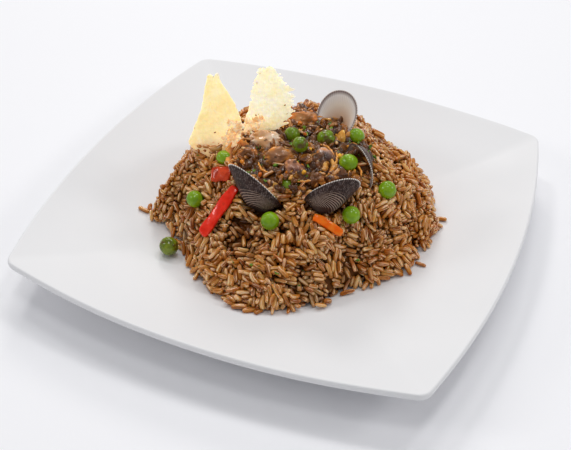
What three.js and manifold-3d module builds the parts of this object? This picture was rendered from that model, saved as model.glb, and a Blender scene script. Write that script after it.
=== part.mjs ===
// A square white coupe plate with a heap of dark rice, a saucy clam ragout on top,
// clam shells, peas, strips of pepper and two crisp cheese wafers.
// Millimetres, +Z up. The origin is on the table under the plate's centre.
// The plate's four sides face +X, -X, +Y and -Y; the front side faces -Y.
import * as THREE from "three";
import { mergeVertices } from "three/addons/utils/BufferGeometryUtils.js";
import Module from "manifold-3d";

const wasm = await Module();
wasm.setup();

// ---------------------------------------------------------------- dimensions
const GAP = 0.3; // clearance between neighbouring solids

// Plate: its rim line is a square whose sides bow outwards.
const CORNER = 115.6; // rim corner, before rounding, along x and y
const BOW = 14.4; // how far the middle of a side stands out past the corners
const CORNER_RADIUS = 7.5;
const RIM_HEIGHT = 26.5; // top of the rim at the middle of a side
const CORNER_RISE = 1.0; // the corners stand this much higher
const WELL_HEIGHT = 7.5; // eating surface at the centre
const BOWL_POWER = 2.6; // how late the surface starts to climb
const SQUARING = 1.7; // how late its level lines turn from round to square
const WALL = 4.6; // thickness of the ware
const LIP = 1.65; // how far the rounded lip stands out past the rim line
const FOOT_OUTER = 71;
const FOOT_INNER = 65.5;
const FOOT_SPLAY = 1.2;
const RECESS_HEIGHT = 3.0; // underside inside the foot ring
const PLATE_COLUMNS_PER_SIDE = 11;

// Rice heap: a dome about its peak, with an uneven outline.
const PEAK = new THREE.Vector2(0.3, 14.8);
const HEAP_TOP = 64.0;
const HEAP_REACH = 77.7; // mean distance from the peak to the edge
// [waves round the heap, cosine part, sine part]
const REACH_WAVES = [
  [1, 1.3, -11.6],
  [2, -1.6, 0.2],
  [3, -0.4, 3.2],
  [4, 1.4, 0.7],
  [5, 0.9, -1.1],
  [6, -1.0, -0.5],
  [7, -0.1, 0.3],
];
// Loose rice that runs out past the edge: [direction in degrees, extra reach, width in degrees]
const SPILLS = [
  [-145, 8.0, 4],
  [-62, 5.0, 5],
  [-105, 1.5, 4],
  [-22, 1.5, 5],
  [4, 1.5, 5],
];
const FULLNESS = 3.53; // a higher power makes a flatter top and steeper sides
const FULLNESS_WAVES = [
  [1, -0.6, -0.3],
  [2, 0.8, 0.16],
  [3, -0.18, -0.75],
];
const SIDE_POWER = 0.82;
const EDGE_STEP = 2.6; // thickness of the rice at its edge
const LUMP = 0.9; // height of the lumps in its surface
const HEAP_COLUMNS = 48;

// Clam ragout: a saucy layer over the top of the rice.
const RAGOUT_CENTRE = new THREE.Vector2(7, 0);
const RAGOUT_REACH = 33.1;
const RAGOUT_WAVES = [
  [1, 0.7, -0.8],
  [2, 0, 3.1],
  [3, 3.0, -2.0],
  [4, 1.1, 1.5],
];
const RAGOUT_DEPTH = 6.0; // below the line of the dome
const RAGOUT_COVER = 1.4; // above it
const RAGOUT_COLUMNS = 22;

// Clam shells: half shells, cupped, with the beak near one end.
const SHELL_WALL = 1.5;
const BEAK_SHARE = 0.41; // how far the beak is from the middle, as a share of the length
const BEAK_HEIGHT = 0.22; // how full the back is at the beak
const BACK_FULL = 0.42; // the back is full from this share of the way to the rim
const SHELL_COLUMNS = 18;

// ---------------------------------------------------------------- small maths
const rad = THREE.MathUtils.degToRad;
const waves = (terms, angle) =>
  terms.reduce((sum, [n, c, s]) => sum + c * Math.cos(n * angle) + s * Math.sin(n * angle), 0);

// A view down on the plate from its front right. Shells and clam meat are set by its
// right, up and towards-the-eye directions.
const VIEW_AZIMUTH = rad(22.6);
const VIEW_ELEVATION = rad(39.2);
const EYE = new THREE.Vector3(
  Math.sin(VIEW_AZIMUTH) * Math.cos(VIEW_ELEVATION),
  -Math.cos(VIEW_AZIMUTH) * Math.cos(VIEW_ELEVATION),
  Math.sin(VIEW_ELEVATION),
);
const VIEW_RIGHT = new THREE.Vector3(Math.cos(VIEW_AZIMUTH), Math.sin(VIEW_AZIMUTH), 0);
const VIEW_UP = new THREE.Vector3().crossVectors(EYE, VIEW_RIGHT);

// ---------------------------------------------------------------- solid making
// A closed body from a pole, a stack of closed loops with equal counts, and a second pole.
function stack(firstPole, loops, lastPole) {
  const count = loops[0].length;
  const points = [firstPole, ...loops.flat(), lastPole];
  const faces = [];
  const at = (row, column) => 1 + row * count + (column % count);
  for (let column = 0; column < count; column++) {
    faces.push(0, at(0, column + 1), at(0, column));
    for (let row = 0; row + 1 < loops.length; row++) {
      const a = at(row, column);
      const b = at(row, column + 1);
      const c = at(row + 1, column + 1);
      const d = at(row + 1, column);
      faces.push(a, b, c, a, c, d);
    }
    faces.push(points.length - 1, at(loops.length - 1, column), at(loops.length - 1, column + 1));
  }
  return facingOut(points, faces);
}

// Turns the faces round if they enclose a negative volume.
function facingOut(points, faces) {
  let volume = 0;
  const cross = new THREE.Vector3();
  for (let i = 0; i < faces.length; i += 3) {
    const [a, b, c] = [points[faces[i]], points[faces[i + 1]], points[faces[i + 2]]];
    volume += cross.crossVectors(b, c).dot(a);
  }
  if (volume < 0) {
    for (let i = 0; i < faces.length; i += 3) {
      [faces[i + 1], faces[i + 2]] = [faces[i + 2], faces[i + 1]];
    }
  }
  const geometry = new THREE.BufferGeometry();
  geometry.setAttribute("position", new THREE.Float32BufferAttribute(points.flatMap((p) => p.toArray()), 3));
  geometry.setIndex(faces);
  return geometry;
}

function toSolid(geometry) {
  const bare = geometry.clone();
  bare.deleteAttribute("normal");
  bare.deleteAttribute("uv");
  const merged = mergeVertices(bare, 1e-4);
  return new wasm.Manifold(
    new wasm.Mesh({
      numProp: 3,
      vertProperties: new Float32Array(merged.attributes.position.array),
      triVerts: new Uint32Array(merged.index.array),
    }),
  );
}

function toGeometry(solid) {
  const mesh = solid.getMesh();
  const geometry = new THREE.BufferGeometry();
  geometry.setAttribute("position", new THREE.Float32BufferAttribute(mesh.vertProperties, 3));
  geometry.setIndex(Array.from(mesh.triVerts));
  return geometry;
}

// The geometry with the cutters taken out; crumbs that come loose are dropped.
function cut(geometry, cutters) {
  let solid = toSolid(geometry);
  for (const cutter of cutters) {
    solid = solid.subtract(toSolid(cutter));
  }
  const parts = solid.decompose();
  parts.sort((a, b) => b.volume() - a.volume());
  return toGeometry(parts[0]);
}

// ---------------------------------------------------------------- plate
// Distance from the centre to the rim line in one direction.
function rimReach(angle) {
  const x = Math.abs(Math.cos(angle));
  const y = Math.abs(Math.sin(angle));
  const [along, across] = x > y ? [x, y] : [y, x];
  const sideRadius = (CORNER * CORNER + BOW * BOW) / (2 * BOW);
  const sideCentre = CORNER + BOW - sideRadius;
  const onCircle = (cx, cy, radius) => {
    const middle = along * cx + across * cy;
    return middle + Math.sqrt(middle * middle - cx * cx - cy * cy + radius * radius);
  };
  const side = onCircle(sideCentre, 0, sideRadius);
  // The corner circle touches both side arcs from inside; its centre is on the diagonal.
  const inner = sideRadius - CORNER_RADIUS;
  const half = sideCentre / 2;
  const diagonal = half + Math.sqrt(half * half - (sideCentre * sideCentre - inner * inner) / 2);
  const touch = Math.atan2(diagonal, diagonal - sideCentre);
  const past = Math.atan2(side * across, side * along - sideCentre) > touch;
  return past ? onCircle(diagonal, diagonal, CORNER_RADIUS) : side;
}

const rimHeight = (angle) => RIM_HEIGHT + CORNER_RISE * Math.abs(Math.sin(2 * angle)) ** 6;

// Level lines go from a circle at the centre to the square rim.
const MID_REACH = CORNER + BOW;
function plateReach(t, angle) {
  const squared = Math.min(t, 1) ** SQUARING;
  return t * (MID_REACH + (rimReach(angle) - MID_REACH) * squared);
}
const plateTop = (t, angle) => WELL_HEIGHT + (rimHeight(angle) - WELL_HEIGHT) * t ** BOWL_POWER;

// Height of the eating surface over a point of the table.
function plateHeight(x, y) {
  const angle = Math.atan2(y, x);
  const reach = Math.hypot(x, y);
  let low = 0;
  let high = 1;
  for (let step = 0; step < 24; step++) {
    const middle = (low + high) / 2;
    if (plateReach(middle, angle) < reach) low = middle;
    else high = middle;
  }
  return plateTop(low, angle);
}

function makePlate() {
  const angles = [];
  for (let side = 0; side < 4; side++) {
    for (let i = 0; i < PLATE_COLUMNS_PER_SIDE; i++) {
      // Columns crowd towards the corners, where the outline turns.
      const v = (2 * i) / PLATE_COLUMNS_PER_SIDE - 1;
      angles.push((side * Math.PI) / 2 + (Math.PI / 4) * (1.5 * v - 0.5 * v ** 3));
    }
  }
  const point = (angle, reach, z) =>
    new THREE.Vector3(reach * Math.cos(angle), reach * Math.sin(angle), z);
  const loop = (reachOf, heightOf) => angles.map((a) => point(a, reachOf(a), heightOf(a)));
  const loops = [];
  // Foot ring, from the recess outwards.
  loops.push(loop(() => FOOT_INNER - FOOT_SPLAY, () => RECESS_HEIGHT));
  loops.push(loop(() => FOOT_INNER, () => 0));
  loops.push(loop(() => FOOT_OUTER - FOOT_SPLAY, () => 0));
  // Underside, following the eating surface.
  const footT = FOOT_OUTER / MID_REACH;
  loops.push(loop(() => FOOT_OUTER, (a) => plateTop(footT, a) - WALL));
  for (const t of [0.68, 0.8, 0.9, 0.97]) {
    loops.push(loop((a) => plateReach(t, a) + 0.6 * WALL * (t - footT), (a) => plateTop(t, a) - WALL));
  }
  // Rounded lip: [past the rim line, below the rim].
  for (const [out, down] of [
    [0.9 * LIP, 0.82 * WALL],
    [LIP, 0.45 * WALL],
    [0.75 * LIP, 0.14 * WALL],
    [0, 0],
  ]) {
    loops.push(loop((a) => rimReach(a) + out, (a) => rimHeight(a) - down));
  }
  // Eating surface, inwards.
  for (const t of [0.96, 0.9, 0.82, 0.72, 0.6, 0.45, 0.26]) {
    loops.push(loop((a) => plateReach(t, a), (a) => plateTop(t, a)));
  }
  return stack(point(0, 0, RECESS_HEIGHT), loops, point(0, 0, WELL_HEIGHT));
}

// ---------------------------------------------------------------- rice heap
function heapReach(angle) {
  const degrees = THREE.MathUtils.radToDeg(angle);
  let reach = HEAP_REACH + waves(REACH_WAVES, angle);
  for (const [towards, extra, width] of SPILLS) {
    const off = THREE.MathUtils.euclideanModulo(degrees - towards + 180, 360) - 180;
    reach += extra * Math.exp(-((off / width) ** 2));
  }
  return reach;
}

// Height of the dome, at a share of the way from its peak to its edge.
function domeAt(share, angle) {
  const reach = share * heapReach(angle);
  const x = PEAK.x + reach * Math.cos(angle);
  const y = PEAK.y + reach * Math.sin(angle);
  const power = FULLNESS + waves(FULLNESS_WAVES, angle);
  const rise = (1 - Math.min(share, 1) ** power) ** SIDE_POWER;
  const base = plateHeight(x, y) + EDGE_STEP * share ** 8;
  return base + (HEAP_TOP - base) * rise;
}

function dome(x, y) {
  const angle = Math.atan2(y - PEAK.y, x - PEAK.x);
  return domeAt(Math.hypot(x - PEAK.x, y - PEAK.y) / heapReach(angle), angle);
}

const lumps = (x, y) =>
  LUMP * (Math.sin(0.23 * x + 0.6) * Math.sin(0.21 * y - 0.4) + Math.sin(0.12 * x - 0.17 * y + 1.9));

function makeHeap() {
  const point = (share, angle, heightOf) => {
    const reach = share * heapReach(angle);
    const x = PEAK.x + reach * Math.cos(angle);
    const y = PEAK.y + reach * Math.sin(angle);
    return new THREE.Vector3(x, y, heightOf(x, y, share, angle));
  };
  const loop = (share, heightOf) =>
    Array.from({ length: HEAP_COLUMNS }, (_, i) => point(share, (2 * Math.PI * i) / HEAP_COLUMNS, heightOf));
  // The plate's mesh lies a little off its formula, so the underside keeps a wider gap.
  const under = (x, y) => plateHeight(x, y) + 1.8 * GAP;
  const over = (x, y, share, angle) => domeAt(share, angle) + lumps(x, y) * (1 - share ** 10);
  const loops = [
    ...[0.4, 0.72, 0.985].map((share) => loop(share, under)),
    ...[1.0, 0.965, 0.91, 0.83, 0.73, 0.61, 0.46, 0.24].map((share) => loop(share, over)),
  ];
  return stack(point(0, 0, under), loops, point(0, 0, over));
}

// ---------------------------------------------------------------- clam ragout
function makeRagout(grow) {
  const point = (share, angle, lift) => {
    const reach = share * (RAGOUT_REACH + waves(RAGOUT_WAVES, angle) + grow);
    const x = RAGOUT_CENTRE.x + reach * Math.cos(angle);
    const y = RAGOUT_CENTRE.y + reach * Math.sin(angle);
    return new THREE.Vector3(x, y, dome(x, y) + lift(x, y));
  };
  const loop = (share, lift) =>
    Array.from({ length: RAGOUT_COLUMNS }, (_, i) =>
      point(share, (2 * Math.PI * i) / RAGOUT_COLUMNS, lift),
    );
  const bottom = (depth) => () => -depth - grow;
  const top = (cover) => (x, y) =>
    cover + grow + 0.8 * LUMP * (Math.sin(0.42 * x + 0.5) * Math.sin(0.38 * y) + 0.3);
  const loops = [
    loop(0.45, bottom(RAGOUT_DEPTH)),
    loop(0.85, bottom(0.8 * RAGOUT_DEPTH)),
    loop(1.0, bottom(0.25 * RAGOUT_DEPTH)),
    loop(0.98, top(0.2 * RAGOUT_COVER)),
    loop(0.85, top(0.8 * RAGOUT_COVER)),
    loop(0.62, top(RAGOUT_COVER)),
    loop(0.32, top(RAGOUT_COVER)),
  ];
  return stack(point(0, 0, bottom(RAGOUT_DEPTH)), loops, point(0, 0, top(RAGOUT_COVER)));
}

// ---------------------------------------------------------------- clam shells
// A half shell over z = 0: x runs from the beak end to the far end, the back bulges to +z.
function makeShell({ length, width, bulge }, grow) {
  const beakX = -BEAK_SHARE * length;
  const surface = (halfLength, halfWidth, height, middleLift) => {
    const rim = (angle) =>
      new THREE.Vector3(
        halfLength * Math.cos(angle),
        halfWidth * Math.sin(angle) * (1 + 0.1 * Math.cos(angle)),
        0,
      );
    const at = (share, angle) => {
      const edge = rim(angle);
      const towardsFar = 0.5 + 0.5 * Math.cos(Math.atan2(edge.y, edge.x - beakX));
      const rise = Math.sin((Math.PI / 2) * Math.min(1, share / BACK_FULL));
      const full = BEAK_HEIGHT + (1 - BEAK_HEIGHT) * rise * towardsFar;
      const swell = full * (0.55 + 0.5 * towardsFar * Math.sin(Math.PI * share ** 0.6));
      const x = beakX + (edge.x - beakX) * share;
      // The rim stays level at -grow; the middle is lifted by its own amount.
      const lift = middleLift - (middleLift + grow) * share ** 6;
      return new THREE.Vector3(x, edge.y * share, lift + height * (1 - share ** 2.2) ** 0.8 * swell);
    };
    return at;
  };
  // The wall slopes in at the rim, so a grown shell spreads twice as far there; its back is
  // steep beside the beak, so it is lifted a little further too.
  const outer = surface(length / 2 + 2 * grow, width / 2 + 2 * grow, bulge, 1.6 * grow);
  const inside = SHELL_WALL + grow;
  const inner = surface(length / 2 - inside, width / 2 - inside, bulge - SHELL_WALL, -grow);
  const loop = (at, share) =>
    Array.from({ length: SHELL_COLUMNS }, (_, i) => at(share, (2 * Math.PI * i) / SHELL_COLUMNS));
  const loops = [
    ...[0.13, 0.3, 0.55, 0.82, 1.0].map((share) => loop(outer, share)),
    ...[1.0, 0.84, 0.52, 0.25].map((share) => loop(inner, share)),
  ];
  return stack(outer(0, 0), loops, inner(0, 0));
}

// Where a shell sits: the middle of its mouth, the direction from beak to far end and
// the direction its back bulges, both as [right, up, towards the eye] of the view.
function shellPlace({ middle, farWay, backWay }) {
  const inView = ([right, up, eye]) =>
    new THREE.Vector3()
      .addScaledVector(VIEW_RIGHT, right)
      .addScaledVector(VIEW_UP, up)
      .addScaledVector(EYE, eye)
      .normalize();
  const back = inView(backWay);
  const far = inView(farWay);
  far.addScaledVector(back, -far.dot(back)).normalize();
  const across = new THREE.Vector3().crossVectors(back, far);
  return new THREE.Matrix4().makeBasis(far, across, back).setPosition(...middle);
}

const SHELLS = {
  shell_left: {
    length: 36, width: 24, bulge: 11,
    middle: [-7.3, -37.2, 56.9], farWay: [-50, 38, 4], backWay: [-38, -50, 16],
  },
  shell_right: {
    length: 31, width: 23, bulge: 11,
    middle: [33.1, -26.8, 58.3], farWay: [50, 16, -2], backWay: [16, -48, 24],
  },
  shell_back: {
    length: 31, width: 25, bulge: 9,
    middle: [14.6, 25.0, 69.6], farWay: [10, 38, 6], backWay: [20, -4, -38],
  },
  shell_side: {
    length: 27, width: 21, bulge: 8,
    middle: [38.6, -0.6, 58.8], farWay: [20, -34, 0], backWay: [34, 12, -20],
  },
};

// ---------------------------------------------------------------- peas
// [x, y, z, radius]
const PEAS = [
  [-49.4, -60.2, 17.8, 5.4],
  [-41.4, -42.4, 40.8, 4.7],
  [-32.2, -23.6, 58.9, 4.4],
  [-3.1, 3.5, 65.8, 4.5],
  [6.7, -8.4, 69.4, 4.5],
  [15.8, 7.3, 66.2, 5.1],
  [29.3, 19.3, 63.9, 4.7],
  [34.2, -6.5, 64.3, 5.0],
  [57.0, -5.5, 52.2, 5.0],
  [45.4, -29.8, 48.8, 4.9],
  [7.6, -50.8, 47.7, 5.0],
  [8.8, -31.2, 58.4, 4.3],
];
const PEA_DIMPLE = 0.97; // peas are a little flatter one way

// ---------------------------------------------------------------- pepper strips
// A ribbon along points on the rice: [x, y, lift], with its width and thickness.
const PEPPERS = {
  pepper_strip_red: {
    path: [[-19.6, -41.0, 1.2], [-22.0, -47.2, 1.5], [-25.4, -53.0, 1.4], [-28.9, -57.0, 1.2]],
    width: 5.4, thickness: 2.4, tone: 0xc4200c,
  },
  pepper_square_red: {
    path: [[-36.4, -32.6, 0.8], [-31.8, -32.4, 0.8], [-27.6, -32.2, 0.8]],
    width: 8.4, thickness: 2.4, tone: 0xb5300f,
  },
  pepper_strip_orange: {
    path: [[32.4, -41.2, 1.0], [37.2, -40.0, 1.2], [43.9, -38.3, 1.1]],
    width: 4.4, thickness: 2.4, tone: 0xd8500c,
  },
};
const PEPPER_STATIONS = 4;
// Section of a strip with bevelled edges, as shares of its half width and half thickness.
const PEPPER_SECTION = [
  [1, 0.45], [0.7, 1], [-0.7, 1], [-1, 0.45],
  [-1, -0.45], [-0.7, -1], [0.7, -1], [1, -0.45],
];
const PEPPER_END = { scale: 0.86, length: 0.5 }; // the ends taper off
const SLOPE_STEP = 1.0; // how far apart the rice is sampled for its slope

function makePepper({ path, width, thickness }, grow) {
  const curve = new THREE.CatmullRomCurve3(
    path.map(([x, y, lift]) => new THREE.Vector3(x, y, dome(x, y) + lift)),
  );
  const ring = (share, scale, along) => {
    const centre = curve.getPointAt(share);
    const forward = curve.getTangentAt(share);
    centre.addScaledVector(forward, along);
    // The ribbon lies flat on the rice: its thin way is the heap's own slope.
    const { x, y } = centre;
    const up = new THREE.Vector3(
      (dome(x - SLOPE_STEP, y) - dome(x + SLOPE_STEP, y)) / (2 * SLOPE_STEP),
      (dome(x, y - SLOPE_STEP) - dome(x, y + SLOPE_STEP)) / (2 * SLOPE_STEP),
      1,
    );
    up.addScaledVector(forward, -up.dot(forward)).normalize();
    const across = new THREE.Vector3().crossVectors(up, forward);
    const halfWidth = (width / 2) * scale + grow;
    const halfThickness = (thickness / 2) * scale + grow;
    return PEPPER_SECTION.map(([a, b]) =>
      centre.clone().addScaledVector(across, a * halfWidth).addScaledVector(up, b * halfThickness),
    );
  };
  const end = PEPPER_END.length + grow;
  const loops = [ring(0, PEPPER_END.scale, -end)];
  for (let i = 0; i <= PEPPER_STATIONS; i++) {
    loops.push(ring(i / PEPPER_STATIONS, 1, 0));
  }
  loops.push(ring(1, PEPPER_END.scale, end));
  const middle = (loop) =>
    loop.reduce((sum, p) => sum.add(p), new THREE.Vector3()).divideScalar(loop.length);
  return stack(middle(loops[0]), loops, middle(loops[loops.length - 1]));
}

// ---------------------------------------------------------------- clam meat
// Lumpy pieces: centre, half sizes along [right, up, towards the eye] of the view, turn in degrees.
const MEATS = {
  clam_meat_pale: { centre: [-13.5, -6.2, 64.8], half: [9.6, 5.4, 5.0], turn: -8 },
  clam_meat_open: { centre: [-19.6, -20.6, 61.0], half: [6.6, 5.6, 4.6], turn: 35 },
  clam_meat_rear: { centre: [-4.0, 20.2, 65.1], half: [8.0, 5.2, 5.2], turn: 12 },
  clam_meat_shiny: { centre: [20.9, -7.1, 64.7], half: [5.8, 4.6, 4.6], turn: -35 },
  clam_meat_amber: { centre: [22.6, 12.6, 65.4], half: [2.6, 4.0, 2.6], turn: -20 },
  clam_meat_front: { centre: [-3.6, -14.6, 62.8], half: [8.2, 5.0, 5.0], turn: 15 },
  clam_meat_low: { centre: [8.1, -20.4, 61.0], half: [5.6, 5.0, 4.4], turn: -30 },
};
const MEAT_COLUMNS = 9;

function makeMeat({ half, turn }, grow) {
  const wobble = (u, v) => 1 + 0.09 * Math.sin(3 * u + half[0]) * Math.sin(v) + 0.05 * Math.sin(2 * u + 5 * v);
  const at = (u, v) => {
    const size = wobble(u, v);
    return new THREE.Vector3(
      Math.sin(v) * Math.cos(u) * (half[0] * size + grow),
      Math.sin(v) * Math.sin(u) * (half[1] * size + grow),
      -Math.cos(v) * (half[2] + grow),
    );
  };
  const loops = [0.2, 0.4, 0.6, 0.8].map((share) =>
    Array.from({ length: MEAT_COLUMNS }, (_, i) => at((2 * Math.PI * i) / MEAT_COLUMNS, share * Math.PI)),
  );
  const geometry = stack(at(0, 0), loops, at(0, Math.PI));
  return geometry.applyMatrix4(new THREE.Matrix4().makeRotationZ(rad(turn)));
}

// ---------------------------------------------------------------- cheese wafers
// A thin wafer standing in the rice. Its outline is given in its own upright plane by
// the left and right edge at each height; edges = [height, left, right].
const WAFERS = {
  wafer_left: {
    foot: [-40.5, -18.8, 58.1], azimuth: 10, lean: 14, thickness: 1.5, bend: 1.6,
    edges: [
      [-5.0, -2.0, 1.6], [0.5, -12.7, 8.2], [4, -14.9, 11.9], [8, -13.3, 13.6], [12, -12.0, 15.0],
      [17, -10.5, 15.9], [22, -8.9, 14.5], [28, -7.7, 11.5], [34, -6.7, 7.4], [39.5, -5.8, 3.1],
      [45, -2.9, -0.1],
    ],
  },
  wafer_right: {
    foot: [-20.8, 1.1, 63.5], azimuth: 28, lean: 12, thickness: 1.5, bend: -1.8,
    edges: [
      [-4.5, -10.4, 0.4], [0, -10.2, 9.4], [4, -9.9, 14.3], [8, -9.2, 17.8], [12, -7.9, 19.3],
      [16, -6.6, 18.6], [21, -5.9, 19.0], [26, -5.3, 18.2], [31, -3.7, 13.4], [36, -2.0, 11.0],
      [39.5, 0.2, 5.4],
    ],
  },
};

function makeWafer({ thickness, bend, edges }, grow) {
  const across = [0, 0.22, 0.5, 0.78, 1];
  const half = thickness / 2 + grow;
  const sheet = (left, right, height, share, side) => {
    const u = left - grow + (right - left + 2 * grow) * share;
    const bow = bend * (Math.cos((Math.PI * u) / 24) - 0.4) * Math.cos(height / 30);
    const edge = share === 0 || share === 1 ? 0.55 : 1;
    return new THREE.Vector3(u, bow + side * half * edge, height);
  };
  const loops = edges.map(([height, left, right], row) => {
    const z = height + (row === 0 ? -grow : row === edges.length - 1 ? grow : 0);
    return [
      ...across.map((share) => sheet(left, right, z, share, -1)),
      ...[...across].reverse().map((share) => sheet(left, right, z, share, 1)),
    ];
  });
  const tip = (loop) =>
    loop.reduce((sum, p) => sum.add(p), new THREE.Vector3()).divideScalar(loop.length);
  return stack(tip(loops[0]), loops, tip(loops[loops.length - 1]));
}

const waferPlace = ({ foot, azimuth, lean }) =>
  new THREE.Matrix4()
    .makeRotationZ(rad(azimuth))
    .multiply(new THREE.Matrix4().makeRotationX(rad(-lean)))
    .setPosition(...foot);

// ---------------------------------------------------------------- the whole
const material = (color, roughness) =>
  new THREE.MeshStandardMaterial({ color, roughness, metalness: 0 });
const CERAMIC = material(0xe9eaee, 0.25);
const RICE = material(0x9a6a3c, 0.5);
const SAUCE = material(0x4a2c16, 0.3);
const SHELL = material(0x4b403e, 0.5);
const PEA = material(0x4f9a1e, 0.35);
const MEAT = material(0x9a6440, 0.35);
const WAFER = material(0xe8d59a, 0.6);

const meal = new THREE.Group();

function add(name, geometry, look) {
  const shaded = geometry.index ? geometry.toNonIndexed() : geometry;
  shaded.computeVertexNormals();
  const mesh = new THREE.Mesh(shaded, look);
  mesh.name = name;
  meal.add(mesh);
  return mesh;
}

const grownShells = [];
for (const [name, spec] of Object.entries(SHELLS)) {
  const place = shellPlace(spec);
  add(name, makeShell(spec, 0), SHELL).applyMatrix4(place);
  grownShells.push(makeShell(spec, GAP).applyMatrix4(place));
}

const grownPeas = PEAS.map(([x, y, z, radius], index) => {
  const ball = (r) => new THREE.SphereGeometry(r, 9, 6).scale(1, PEA_DIMPLE, 1);
  const name = `pea_${String(index + 1).padStart(2, "0")}`;
  add(name, ball(radius), PEA).position.set(x, y, z);
  return ball(radius + GAP).translate(x, y, z);
});

const grownPeppers = Object.entries(PEPPERS).map(([name, spec]) => {
  add(name, makePepper(spec, 0), material(spec.tone, 0.3));
  return makePepper(spec, GAP);
});

const viewTurn = new THREE.Matrix4().makeBasis(VIEW_RIGHT, VIEW_UP, EYE);
const grownMeats = Object.entries(MEATS).map(([name, spec]) => {
  const place = viewTurn.clone().setPosition(...spec.centre);
  add(name, makeMeat(spec, 0), MEAT).applyMatrix4(place);
  return makeMeat(spec, GAP).applyMatrix4(place);
});

const grownWafers = Object.entries(WAFERS).map(([name, spec]) => {
  const place = waferPlace(spec);
  add(name, makeWafer(spec, 0), WAFER).applyMatrix4(place);
  return makeWafer(spec, GAP).applyMatrix4(place);
});

const bedded = [...grownShells, ...grownPeas, ...grownPeppers, ...grownMeats, ...grownWafers];
add("clam_ragout", cut(makeRagout(0), bedded), SAUCE);
add("rice_heap", cut(makeHeap(), [makeRagout(GAP), ...bedded]), RICE);
add("plate", makePlate(), CERAMIC);

export default meal;
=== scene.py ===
import math

import bpy
import numpy as np
from mathutils import Matrix


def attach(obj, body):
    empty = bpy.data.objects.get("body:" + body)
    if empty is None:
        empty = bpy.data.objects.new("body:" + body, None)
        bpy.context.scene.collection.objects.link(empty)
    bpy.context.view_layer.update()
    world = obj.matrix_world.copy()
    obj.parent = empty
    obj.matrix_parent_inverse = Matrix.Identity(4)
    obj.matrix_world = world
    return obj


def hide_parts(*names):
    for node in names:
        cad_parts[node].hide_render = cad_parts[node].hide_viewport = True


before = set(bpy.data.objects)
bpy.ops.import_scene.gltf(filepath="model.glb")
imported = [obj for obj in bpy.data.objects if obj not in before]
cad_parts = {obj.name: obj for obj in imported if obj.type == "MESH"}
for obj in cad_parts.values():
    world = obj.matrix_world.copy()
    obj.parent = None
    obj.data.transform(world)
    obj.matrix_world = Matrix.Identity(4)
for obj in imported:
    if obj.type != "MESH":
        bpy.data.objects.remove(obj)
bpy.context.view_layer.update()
scene = bpy.context.scene
mm = 0.001  # the shapes below are worked out in millimetres
rng = np.random.default_rng(20)
tau = 2 * math.pi


# shader helpers
class Value:
    # a socket that takes part in sums: each operator adds a Math node
    def __init__(self, tree, socket):
        self.tree = tree
        self.socket = socket

    def math(self, operation, other=None, clamp=False):
        node = self.tree.nodes.new("ShaderNodeMath")
        node.operation = operation
        node.use_clamp = clamp
        for slot, side in zip(node.inputs, (self, other)):
            if isinstance(side, Value):
                self.tree.links.new(side.socket, slot)
            elif side is not None:
                slot.default_value = side
        return Value(self.tree, node.outputs[0])

    def __add__(self, other):
        return self.math("ADD", other)

    def __sub__(self, other):
        return self.math("SUBTRACT", other)

    def __mul__(self, other):
        return self.math("MULTIPLY", other)

    def clamped(self):
        return self.math("ADD", 0.0, clamp=True)


class Finish:
    # a material with one Principled shader; node() adds any other node; soft is how light goes under the
    # skin: (weight, scale, radius)
    def __init__(self, name, soft=(), **uniform):
        self.material = bpy.data.materials.new(name)
        self.material.use_nodes = True
        self.tree = self.material.node_tree
        self.shader = next(n for n in self.tree.nodes if n.type == "BSDF_PRINCIPLED")
        uniform.update(zip(("Subsurface_Weight", "Subsurface_Scale", "Subsurface_Radius"), soft))
        for socket, value in uniform.items():
            self.shader.inputs[socket.replace("_", " ")].default_value = value

    def node(self, kind, settings, sockets, output=0):
        node = self.tree.nodes.new(kind)
        for key, value in settings.items():
            if key == "stops":
                ramp = node.color_ramp.elements
                while len(ramp) < len(value):
                    ramp.new(0.5)
                for element, (place, colour) in zip(ramp, value):
                    element.position = place
                    element.color = (*colour, 1)
            else:
                setattr(node, key, value)
        for key, value in sockets.items():
            if isinstance(value, Value):
                self.tree.links.new(value.socket, node.inputs[key])
            else:
                node.inputs[key].default_value = value
        return Value(self.tree, node.outputs[output])

    def place(self):
        return self.node("ShaderNodeTexCoord", {}, {}, "Object")

    def mark(self, name, output="Fac"):
        return self.node("ShaderNodeAttribute", {"attribute_name": name}, {}, output)

    def noise(self, scale, detail=2.0, vector=None, roughness=0.5):
        return self.node("ShaderNodeTexNoise", {}, {
            "Vector": vector or self.place(), "Scale": scale, "Detail": detail, "Roughness": roughness})

    def scaled(self, vector, scale):
        return self.node("ShaderNodeVectorMath", {"operation": "MULTIPLY"}, {0: vector, 1: scale})

    def ramp(self, value, stops):
        return self.node("ShaderNodeValToRGB", {"stops": stops}, {"Fac": value})

    def mix(self, share, one, other):
        def colour(c):
            return c if isinstance(c, Value) else (*c, 1)
        return self.node("ShaderNodeMix", {"data_type": "RGBA"}, {0: share, 6: colour(one), 7: colour(other)}, 2)

    def range(self, value, low, high, toLow=0.0, toHigh=1.0):
        return self.node("ShaderNodeMapRange", {"interpolation_type": "SMOOTHSTEP"}, {
            "Value": value, "From Min": low, "From Max": high, "To Min": toLow, "To Max": toHigh})

    def cloud(self, scale, detail, low, high, toLow=0.0, toHigh=1.0):
        return self.range(self.noise(scale, detail), low, high, toLow, toHigh)

    def bump(self, height, distance, strength=1.0):
        self.feed("Normal", self.node("ShaderNodeBump", {}, {
            "Height": height, "Distance": distance, "Strength": strength}))

    def feed(self, socket, value):
        self.tree.links.new(value.socket, self.shader.inputs[socket])


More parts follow.
